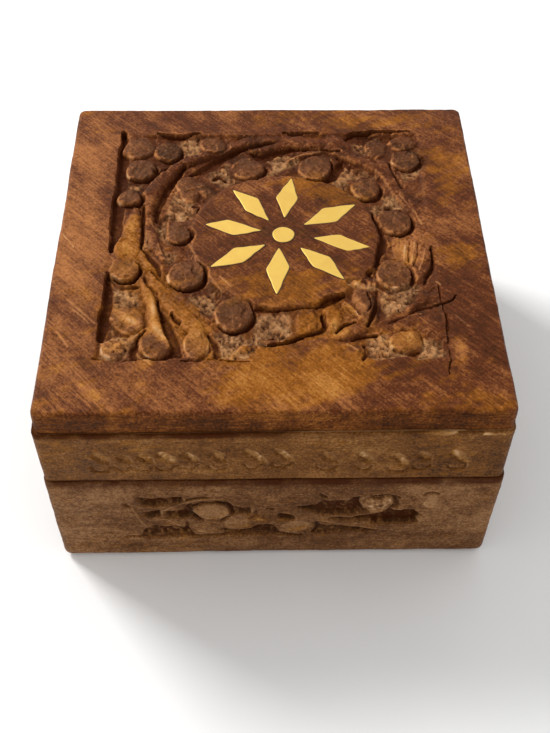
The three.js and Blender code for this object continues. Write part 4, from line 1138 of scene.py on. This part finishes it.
def wandering(u, z, worn_edge, seed):
    """How far a wall's face lies in from its plane, with nicks where its edge is worn."""
    sway = WAVE * (lumps(u, z * 0.3, 15, seed + 20) + 0.4 * lumps(u, z, 4, seed + 21))
    nick = NICK * np.clip(lumps(u, z, 2.2, seed + 22) - 0.55, 0, 1)
    return sway + nick * worn_edge


def carved_wall(side, body, kind, carving, foot, seed, materials):
    """A wall whose outer face is carved: its plan outline, drawn up through many levels.

    The materials are those of the outer face and of the rest.
    """
    node = f"{body}_{side}_{kind}"
    low, high = box_mm(node)
    shoulder_depth = box_mm(f"{body}_left_{kind}")[0][1] - box_mm(f"{body}_front_{kind}")[0][1]
    on_front = side == "front"
    length, thickness = (high - low)[:2] if on_front else (high - low)[1::-1]
    outer, inner = wall_outline(length / 2, thickness, shoulder_depth, on_front)
    z, inset = wall_levels(low[2], high[2], foot)

    u_grid, z_grid = np.meshgrid(outer[:, 0], z)
    height, rough, lighter, hollow, worn = wall_face(
        u_grid, z_grid, low[2], high[2], body, on_front, carving, seed
    )
    inset = inset[:, None]
    deep = wandering(u_grid, z_grid, inset > 0, seed) - height + inset
    rows = len(z)
    us = np.hstack([outer[:, 0] - outer[:, 2] * deep, np.tile([u for u, _ in inner], (rows, 1))])
    vs = np.hstack([outer[:, 1] - outer[:, 3] * deep, np.tile([v for _, v in inner], (rows, 1))])
    zs = np.tile(z[:, None], (1, us.shape[1]))
    points = np.stack([*to_world(side, low, high, us, vs), zs], -1).reshape(-1, 3)
    index = np.arange(us.size).reshape(us.shape)
    faces = grid_faces(np.hstack([index, index[:, :1]]))
    faces += [index[0, ::-1].tolist(), index[-1].tolist()]
    within = np.tile(np.arange(us.shape[1]) >= len(outer) - 1, rows - 1)
    face_materials = within.astype(int).tolist() + [0, 1]

    def padded(values):
        """Values of the outer face's points, with 0 for the inner ones."""
        return np.hstack([values, np.zeros((rows, len(inner)))]).ravel()

    light, gold = tones(us.ravel(), zs.ravel() * 1.7 + 31 * seed)
    if on_front:
        light = light + np.interp(us.ravel(), *zip(*FRONT_TONES[body]))
        gold = gold + FRONT_GOLD[body]
    wall = add_piece(
        f"carved_{node}", body, node, points, faces, materials, face_materials,
        light=light + padded(lighter),
        gold=gold,
        rough=padded(rough),
        hollow=padded(hollow),
        worn=padded(worn),
    )


def with_neighbours(outline):
    """Each corner of an outline between the ones before and after it."""
    return zip(np.roll(outline, 1, 0), outline, np.roll(outline, -1, 0))


def grown(outline, by):
    """The outline with every side moved out by the given amount."""
    moved = []
    for before, at, after in with_neighbours(outline):
        n1 = np.array([at[1] - before[1], before[0] - at[0]])
        n2 = np.array([after[1] - at[1], at[0] - after[0]])
        n1, n2 = n1 / np.hypot(*n1), n2 / np.hypot(*n2)
        moved.append(at + by * (n1 + n2) / (1 + n1 @ n2))
    return np.array(moved)


def hand_cut(corners, seed):
    """A petal's outline with its corners a little blunt and its sides a little crooked."""
    rng = np.random.default_rng(seed)
    points = []
    for before, at, after in with_neighbours(np.array(corners, float)):
        to_before, to_after = before - at, after - at
        points.append(at + to_before * BLUNT)
        points.append(at + (to_before + to_after) * BLUNT * 0.28)
        points.append(at + to_after * BLUNT)
        side = np.array([-to_after[1], to_after[0]]) / np.hypot(*to_after)
        for t in (0.3, 0.5, 0.7):
            points.append(at + to_after * t + side * rng.uniform(-CROOKED, CROOKED))
    return np.array(points)


def inlaid_piece(name, node, outline, top, materials):
    """A flat inlaid piece with an eased edge and a line of dark glue round it, which also paints the
    shade of the gap.
    """
    face = top - INLAY_PROUD
    rings = [
        (grown(outline, -INLAY_EASE), top),
        (grown(outline, -INLAY_EASE * 0.3), top - INLAY_EASE * 0.25),
        (outline, face),
        (outline, face + GLUE_PROUD),
        (grown(outline, GLUE_WIDTH), face + GLUE_PROUD - GLUE_SAG),
        (grown(outline, GLUE_WIDTH), top - INLAY_DEPTH),
    ]
    count = len(outline)
    points = [(*outline.mean(0), top)]
    for ring, level in rings:
        points += [(px, py, level) for px, py in ring]
    faces = [(0, 1 + i, 1 + (i + 1) % count) for i in range(count)]
    face_materials = [0] * count
    for r in range(len(rings) - 1):
        for i in range(count):
            a, b = 1 + r * count + i, 1 + r * count + (i + 1) % count
            faces.append((a, a + count, b + count, b))
            face_materials.append(0 if r < 3 else 1)
    faces.append([1 + (len(rings) - 1) * count + i for i in range(count)][::-1])
    face_materials.append(1)
    piece = add_piece(name, "lid", node, points, faces, materials, face_materials, smooth=False)


# Materials


class Nodes:
    """A short way to build a material's nodes."""

    def __init__(self, name):
        self.material = bpy.data.materials.new(name)
        self.material.use_nodes = True
        self.tree = self.material.node_tree
        self.tree.nodes.clear()
        self.surface = self.add("ShaderNodeBsdfPrincipled")
        output = self.add("ShaderNodeOutputMaterial")
        self.link(self.surface.outputs[0], output.inputs["Surface"])

    def add(self, kind, **settings):
        node = self.tree.nodes.new(kind)
        for key, value in settings.items():
            setattr(node, key, value)
        return node

    def link(self, source, target):
        self.tree.links.new(source, target)

    def set(self, socket, value):
        """Links or sets a socket, whichever the value asks for."""
        if isinstance(value, bpy.types.NodeSocket):
            self.link(value, socket)
        else:
            socket.default_value = value

    def math(self, operation, a, b=0.0, c=0.0, clamp=False):
        node = self.add("ShaderNodeMath", operation=operation, use_clamp=clamp)
        for socket, value in zip(node.inputs, (a, b, c)):
            self.set(socket, value)
        return node.outputs[0]

    def mix(self, factor, a, b):
        node = self.add("ShaderNodeMix", data_type="RGBA", blend_type="MIX")
        self.set(node.inputs[0], factor)
        self.set(node.inputs[6], a)
        self.set(node.inputs[7], b)
        return node.outputs[2]

    def ramp(self, factor, stops):
        node = self.add("ShaderNodeValToRGB")
        points = node.color_ramp.elements
        while len(points) < len(stops):
            points.new(0.5)
        for point, (position, colour) in zip(points, stops):
            point.position = position
            point.color = colour
        self.set(node.inputs[0], factor)
        return node.outputs[0]

    def spread(self, value, low, high, to_low=0.0, to_high=1.0):
        node = self.add("ShaderNodeMapRange")
        for socket, number in zip(node.inputs, (value, low, high, to_low, to_high)):
            self.set(socket, number)
        return node.outputs[0]

    def coordinates(self, scale, turn=0.0):
        place = self.add("ShaderNodeTexCoord").outputs["Object"]
        turned = self.add("ShaderNodeMapping")
        turned.inputs["Rotation"].default_value = (0, 0, math.radians(turn))
        self.link(place, turned.inputs["Vector"])
        stretched = self.add("ShaderNodeMapping")
        stretched.inputs["Scale"].default_value = scale
        self.link(turned.outputs[0], stretched.inputs["Vector"])
        return stretched.outputs[0]

    def noise(self, coordinates, detail, roughness, distortion=0.0):
        node = self.add("ShaderNodeTexNoise")
        self.link(coordinates, node.inputs["Vector"])
        node.inputs["Scale"].default_value = 1.0
        node.inputs["Detail"].default_value = detail
        node.inputs["Roughness"].default_value = roughness
        node.inputs["Distortion"].default_value = distortion
        return node.outputs["Fac"]

    def even_noise(self, scale, detail, roughness, distortion=0.0):
        """Noise with as many lumps to the metre in every direction."""
        return self.noise(self.coordinates((scale,) * 3), detail, roughness, distortion)

    def attribute(self, name):
        return self.add("ShaderNodeAttribute", attribute_name=name).outputs["Fac"]

    def bump(self, height, distance, strength, before=None):
        node = self.add("ShaderNodeBump")
        node.inputs["Distance"].default_value = distance
        node.inputs["Strength"].default_value = strength
        self.link(height, node.inputs["Height"])
        if before is not None:
            self.link(before, node.inputs["Normal"])
        return node.outputs[0]


def rgb(red, green, blue):
    """A colour from its sRGB values, 0 to 255, as the linear one that sockets take."""

    def linear(value):
        value = value / 255
        return value / 12.92 if value <= 0.04045 else ((value + 0.055) / 1.055) ** 2.4

    return (linear(red), linear(green), linear(blue), 1.0)


def grain_scale(along, across, axis):
    """Noise scales per metre for streaks that run along X (0) or Y (1)."""
    scale = [across, across, across]
    scale[axis] = along
    return scale


def wood(name, axis, turn, colours, gloss, shine=0.15, streaks=1.0, grit=1.0, scuffs=0.0):
    """Waxed wood: streaks along its grain, pores, golden patches, torn ground, and hollows darkened by
    dirt and painted shade.

    The grain runs along X (axis 0) or Y (axis 1), and is turned by so many degrees from it.
    """
    n = Nodes(name)
    dark, middle, pale, gold, amber, torn_pale = colours
    fibre = n.noise(n.coordinates(grain_scale(180, 2300, axis), turn), 4.0, 0.62)
    bands = n.noise(n.coordinates(grain_scale(16, 210, axis), turn), 4.0, 0.55, 0.8)
    pores = n.noise(n.coordinates(grain_scale(500, 4200, axis), turn), 2.0, 0.5)
    blotch = n.even_noise(85, 5.0, 0.62)
    mottle = n.even_noise(420, 4.0, 0.65, 0.6)
    speck = n.even_noise(1700, 3.0, 0.75)
    scratches = n.noise(n.coordinates(grain_scale(80, 2600, axis), turn + 4), 1.0, 0.5, 0.4)
    light, golden, rough, hollow, worn = (
        n.attribute(key) for key in ("light", "gold", "rough", "hollow", "worn")
    )

    # how pale the wood is, from noises that are centred on their middle before they are weighed
    patterns = [
        (fibre, 0.75 * streaks),
        (bands, 0.6 * streaks),
        (blotch, 0.75),
        (mottle, 0.45 * grit),
        (speck, 1.0 * grit),
    ]
    tone = n.math("MULTIPLY_ADD", light, 0.42, 0.45)
    for pattern, weight in patterns:
        tone = n.math("MULTIPLY_ADD", n.math("SUBTRACT", pattern, 0.5), weight, tone)
    tone = n.math("ADD", tone, 0.0, clamp=True)
    colour = n.ramp(tone, [(0.0, dark), (0.45, middle), (1.0, pale)])
    warm = n.ramp(tone, [(0.0, dark), (0.55, gold), (1.0, amber)])
    colour = n.mix(n.math("MULTIPLY", golden, 0.9, clamp=True), colour, warm)

    # torn ground is paler, open pores are dark, and rubbed edges with their painted highlights, and
    # scuffs, are pale
    torn = n.math("MULTIPLY_ADD", n.math("ADD", speck, mottle), 0.5, n.math("MULTIPLY", light, 0.16))
    raw = n.ramp(torn, [(0.25, middle), (0.6, torn_pale)])
    colour = n.mix(n.math("MULTIPLY", rough, 0.8, clamp=True), colour, raw)
    open_pore = n.spread(pores, 0.37, 0.31)
    colour = n.mix(n.math("MULTIPLY", open_pore, 0.35), colour, dark)
    # worn and rubbed carry rubbed pale edges and their painted highlights
    rubbed = n.math("MULTIPLY", worn, n.spread(mottle, 0.38, 0.6, 0.0, 0.8), clamp=True)
    where_rubbed = n.math("MULTIPLY", n.spread(light, -0.2, 0.9, 0.1, 1.0), scuffs)
    scuff = n.math("MULTIPLY", n.spread(scratches, 0.59, 0.74), where_rubbed)
    colour = n.mix(n.math("MAXIMUM", rubbed, scuff), colour, pale)

    # the lightest places are freshly cut wood and painted highlights, and dirt and painted shade lie
    # over everything
    fresh_and_highlit = n.spread(light, 1.25, 2.3, 0.0, 0.7)
    colour = n.mix(fresh_and_highlit, colour, FRESH_WOOD_AND_HIGHLIGHT)
    # dirt holds the painted shade of the hollows as well as their dirt
    dirt = n.math("MULTIPLY", hollow, 0.85, clamp=True)
    colour = n.mix(dirt, colour, DIRT_AND_SHADE)
    n.link(colour, n.surface.inputs["Base Color"])

    # torn places, and places darkened by dirt and painted shade, shine least
    polish = n.math("MULTIPLY_ADD", blotch, 0.25, gloss - 0.12)
    polish = n.math("MULTIPLY_ADD", n.math("MAXIMUM", rough, dirt), 0.35, polish)
    polish = n.math("MULTIPLY_ADD", fibre, 0.2, n.math("ADD", polish, -0.1), clamp=True)
    n.link(polish, n.surface.inputs["Roughness"])
    n.surface.inputs["Specular IOR Level"].default_value = shine
    n.surface.inputs["Specular Tint"].default_value = (1.0, 0.64, 0.32, 1.0)
    grain = n.bump(fibre, 0.00016, 0.8)
    grain = n.bump(n.math("MULTIPLY", open_pore, -1.0), 0.00012, 0.7, grain)
    uneven = n.math("MULTIPLY", n.math("ADD", speck, mottle), n.math("MULTIPLY_ADD", rough, 1.2, 0.35))
    n.link(n.bump(uneven, 0.0003, 0.9, grain), n.surface.inputs["Normal"])
    return n.material


def brass(name, colour, tarnish, gloss, tarnish_amount, metal):
    """Flat brass with fine scratches, a little dull where it has tarnished."""
    n = Nodes(name)
    cloud = n.even_noise(160, 4.0, 0.6)
    scratch = n.noise(n.coordinates((300, 5200, 900), 27), 2.0, 0.5)
    speck = n.even_noise(2200, 2.0, 0.6)
    dull = n.spread(cloud, 0.4, 0.75, 0.0, tarnish_amount)
    spot = n.math("MULTIPLY", n.spread(speck, 0.7, 0.78), 0.6)
    dull = n.math("ADD", dull, spot, clamp=True)
    n.link(n.mix(dull, colour, tarnish), n.surface.inputs["Base Color"])
    n.surface.inputs["Metallic"].default_value = metal
    shine = n.math("MULTIPLY_ADD", scratch, 0.2, gloss - 0.1)
    n.link(n.math("MULTIPLY_ADD", dull, 0.25, shine, clamp=True), n.surface.inputs["Roughness"])
    n.link(n.bump(scratch, 0.00003, 0.5, n.bump(cloud, 0.00008, 0.5)), n.surface.inputs["Normal"])
    return n.material


def glue(name):
    """The dark line of glue and dirt round each inlaid piece, which also stands for the painted shade
    of the gap round it.
    """
    n = Nodes(name)
    speck = n.even_noise(900, 3.0, 0.6)
    n.link(n.mix(speck, *shades((38, 24, 12), (78, 52, 24))), n.surface.inputs["Base Color"])
    n.surface.inputs["Roughness"].default_value = 0.7
    n.link(n.bump(speck, 0.0001, 0.6), n.surface.inputs["Normal"])
    return n.material


def paper(name):
    """The studio's pale floor."""
    n = Nodes(name)
    soft = n.even_noise(30, 2.0, 0.5)
    n.link(n.mix(soft, *shades((244, 244, 243), (250, 250, 249))), n.surface.inputs["Base Color"])
    n.surface.inputs["Roughness"].default_value = 0.9
    n.surface.inputs["Specular IOR Level"].default_value = 0.1
    return n.material


def shades(*values):
    """Several colours from their sRGB values."""
    return [rgb(*value) for value in values]


# the colour of freshly cut wood, also used for painted highlights
FRESH_WOOD_AND_HIGHLIGHT = rgb(216, 174, 130)
DIRT_AND_SHADE = rgb(56, 17, 1)
# each wood's dark, middle, pale, golden, pale golden and torn colours
BOARD_COLOURS = shades(
    (42, 17, 6), (90, 44, 21), (174, 110, 60), (142, 82, 18), (190, 130, 60), (190, 142, 96)
)
BOARD_SIDE_COLOURS = shades(
    (46, 18, 3), (98, 50, 14), (164, 102, 44), (124, 70, 12), (170, 112, 44), (144, 102, 58)
)
WALL_COLOURS = shades(
    (48, 23, 8), (101, 62, 31), (161, 118, 78), (132, 82, 28), (176, 124, 58), (134, 96, 56)
)
INSIDE_COLOURS = shades(
    (96, 62, 40), (146, 102, 66), (186, 142, 100), (170, 120, 70), (186, 142, 90), (176, 134, 92)
)
BOARD_WOOD = wood("board_wood", 0, 45, BOARD_COLOURS, gloss=0.46, shine=0.14, scuffs=0.8)
BOARD_SIDE_WOOD = wood(
    "board_side_wood", 0, 0, BOARD_SIDE_COLOURS, gloss=0.6, shine=0.12, streaks=1.3, grit=1.5
)
FRONT_WOOD = wood("front_wood", 0, 0, WALL_COLOURS, gloss=0.58, streaks=0.7, grit=1.4)
SIDE_WOOD = wood("side_wood", 1, 0, WALL_COLOURS, gloss=0.58, streaks=0.7, grit=1.4)
INSIDE_WOOD = wood("inside_wood", 0, 0, INSIDE_COLOURS, gloss=0.7)
INLAY_BRASS = brass("inlay_brass", *shades((229, 190, 90), (196, 148, 60)), 0.5, 0.4, 0.5)
HINGE_BRASS = brass("hinge_brass", *shades((206, 164, 92), (118, 84, 44)), 0.38, 0.8, 1.0)
GLUE_AND_GAP_SHADE = glue("glue_line_and_gap_shade")


# The box

# each body's walls: what they are called, their carving, how round their foot is, and a seed
WALLS = (
    ("base", "wall", band_carving, FOOT_ROUND, 200),
    ("lid", "rail", row_carving, RIM_ROUND, 400),
)


def dress_box():
    """The carved walls, rails and board, each carved anew from seeds of its own."""
    for number, side in enumerate(("front", "left", "right")):
        materials = [FRONT_WOOD if side == "front" else SIDE_WOOD, INSIDE_WOOD]
        for body, kind, carving, foot, seed in WALLS:
            carved_wall(side, body, kind, carving, foot, seed + 30 * number, materials)
    carved_board("carved_lid_board", "lid_board", [BOARD_WOOD, BOARD_SIDE_WOOD, INSIDE_WOOD])


def dress_inlay():
    """The petals and the disc, whose faces stand a little above the board's."""
    top = box_mm("lid_board")[1][2] - WAVE + INLAY_PROUD
    for i, (tip, root, side_a, side_b) in enumerate(PETALS):
        corners = from_drawing(BOARD_DRAWING, [tip, side_a, root, side_b])
        if np.cross(corners[1] - corners[0], corners[2] - corners[1]) < 0:
            corners = corners[::-1]
        outline = hand_cut(corners, 600 + i)
        inlaid_piece(f"petal_{i + 1}", f"inlay_petal_{i + 1}", outline, top, [INLAY_BRASS, GLUE_AND_GAP_SHADE])
    a = np.linspace(0, 2 * math.pi, DISC_SIDES, endpoint=False)
    radius = DISC_RADIUS * (1 + 0.015 * np.sin(3 * a + 1) + 0.01 * np.sin(5 * a))
    middle = from_drawing(BOARD_DRAWING, DISC_AT)
    outline = middle + np.stack([radius * np.cos(a), radius * np.sin(a)], -1)
    inlaid_piece("inlaid_disc", "inlay_disc", outline, top, [INLAY_BRASS, GLUE_AND_GAP_SHADE])


def dress_cad_nodes():
    """The solids whose own shape is right get their materials, and all but screws a worn edge."""
    for node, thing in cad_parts.items():
        if "hinge" in node:
            material = HINGE_BRASS
        elif node == "base_floor":
            material = INSIDE_WOOD
        elif "back" in node:
            material = FRONT_WOOD
        else:
            continue
        thing.data.materials.clear()
        thing.data.materials.append(material)
        if "screw" not in node:
            worn = thing.modifiers.new("worn_edges", "BEVEL")
            worn.width = WORN_WIDTH * MM
            worn.segments = 2
            worn.limit_method = "ANGLE"
            worn.angle_limit = math.radians(WORN_ANGLE)
            worn.harden_normals = False


# The studio


def add_floor():
    mesh = bpy.data.meshes.new("studio_floor")
    reach = FLOOR_REACH
    corners = [(-reach, -reach, 0), (reach, -reach, 0), (reach, reach, 0), (-reach, reach, 0)]
    mesh.from_pydata(corners, [], [(0, 1, 2, 3)])
    mesh.materials.append(paper("studio_paper"))
    placed("studio_floor", mesh)


def add_lights():
    """A white sky all round, and one lamp behind the box on the left."""
    world = bpy.data.worlds.new("studio_world")
    world.use_nodes = True
    background = world.node_tree.nodes["Background"]
    background.inputs["Color"].default_value = (1.0, 1.0, 1.0, 1.0)
    background.inputs["Strength"].default_value = SKY_STRENGTH
    bpy.context.scene.world = world

    lamp = bpy.data.lights.new("key", "AREA")
    lamp.shape = "SQUARE"
    lamp.size = LAMP_SIZE
    lamp.energy = LAMP_POWER
    thing = placed("key", lamp)
    thing.location = LAMP_AT
    direction = Vector(LAMP_AIM) - Vector(LAMP_AT)
    thing.rotation_euler = direction.to_track_quat("-Z", "Y").to_euler()


def add_camera():
    camera = bpy.data.cameras.new("camera")
    camera.sensor_width = SENSOR
    camera.lens = CAMERA_FOCUS / PHOTO_HEIGHT * SENSOR
    camera.clip_start = 0.01
    thing = placed("camera", camera)
    thing.location = [value * MM for value in CAMERA_AT]
    thing.rotation_euler = [math.radians(value) for value in CAMERA_TURN]
    bpy.context.scene.camera = thing


dress_box()
dress_inlay()
dress_cad_nodes()
add_floor()
add_lights()
add_camera()
bpy.context.scene.view_settings.view_transform = "Standard"
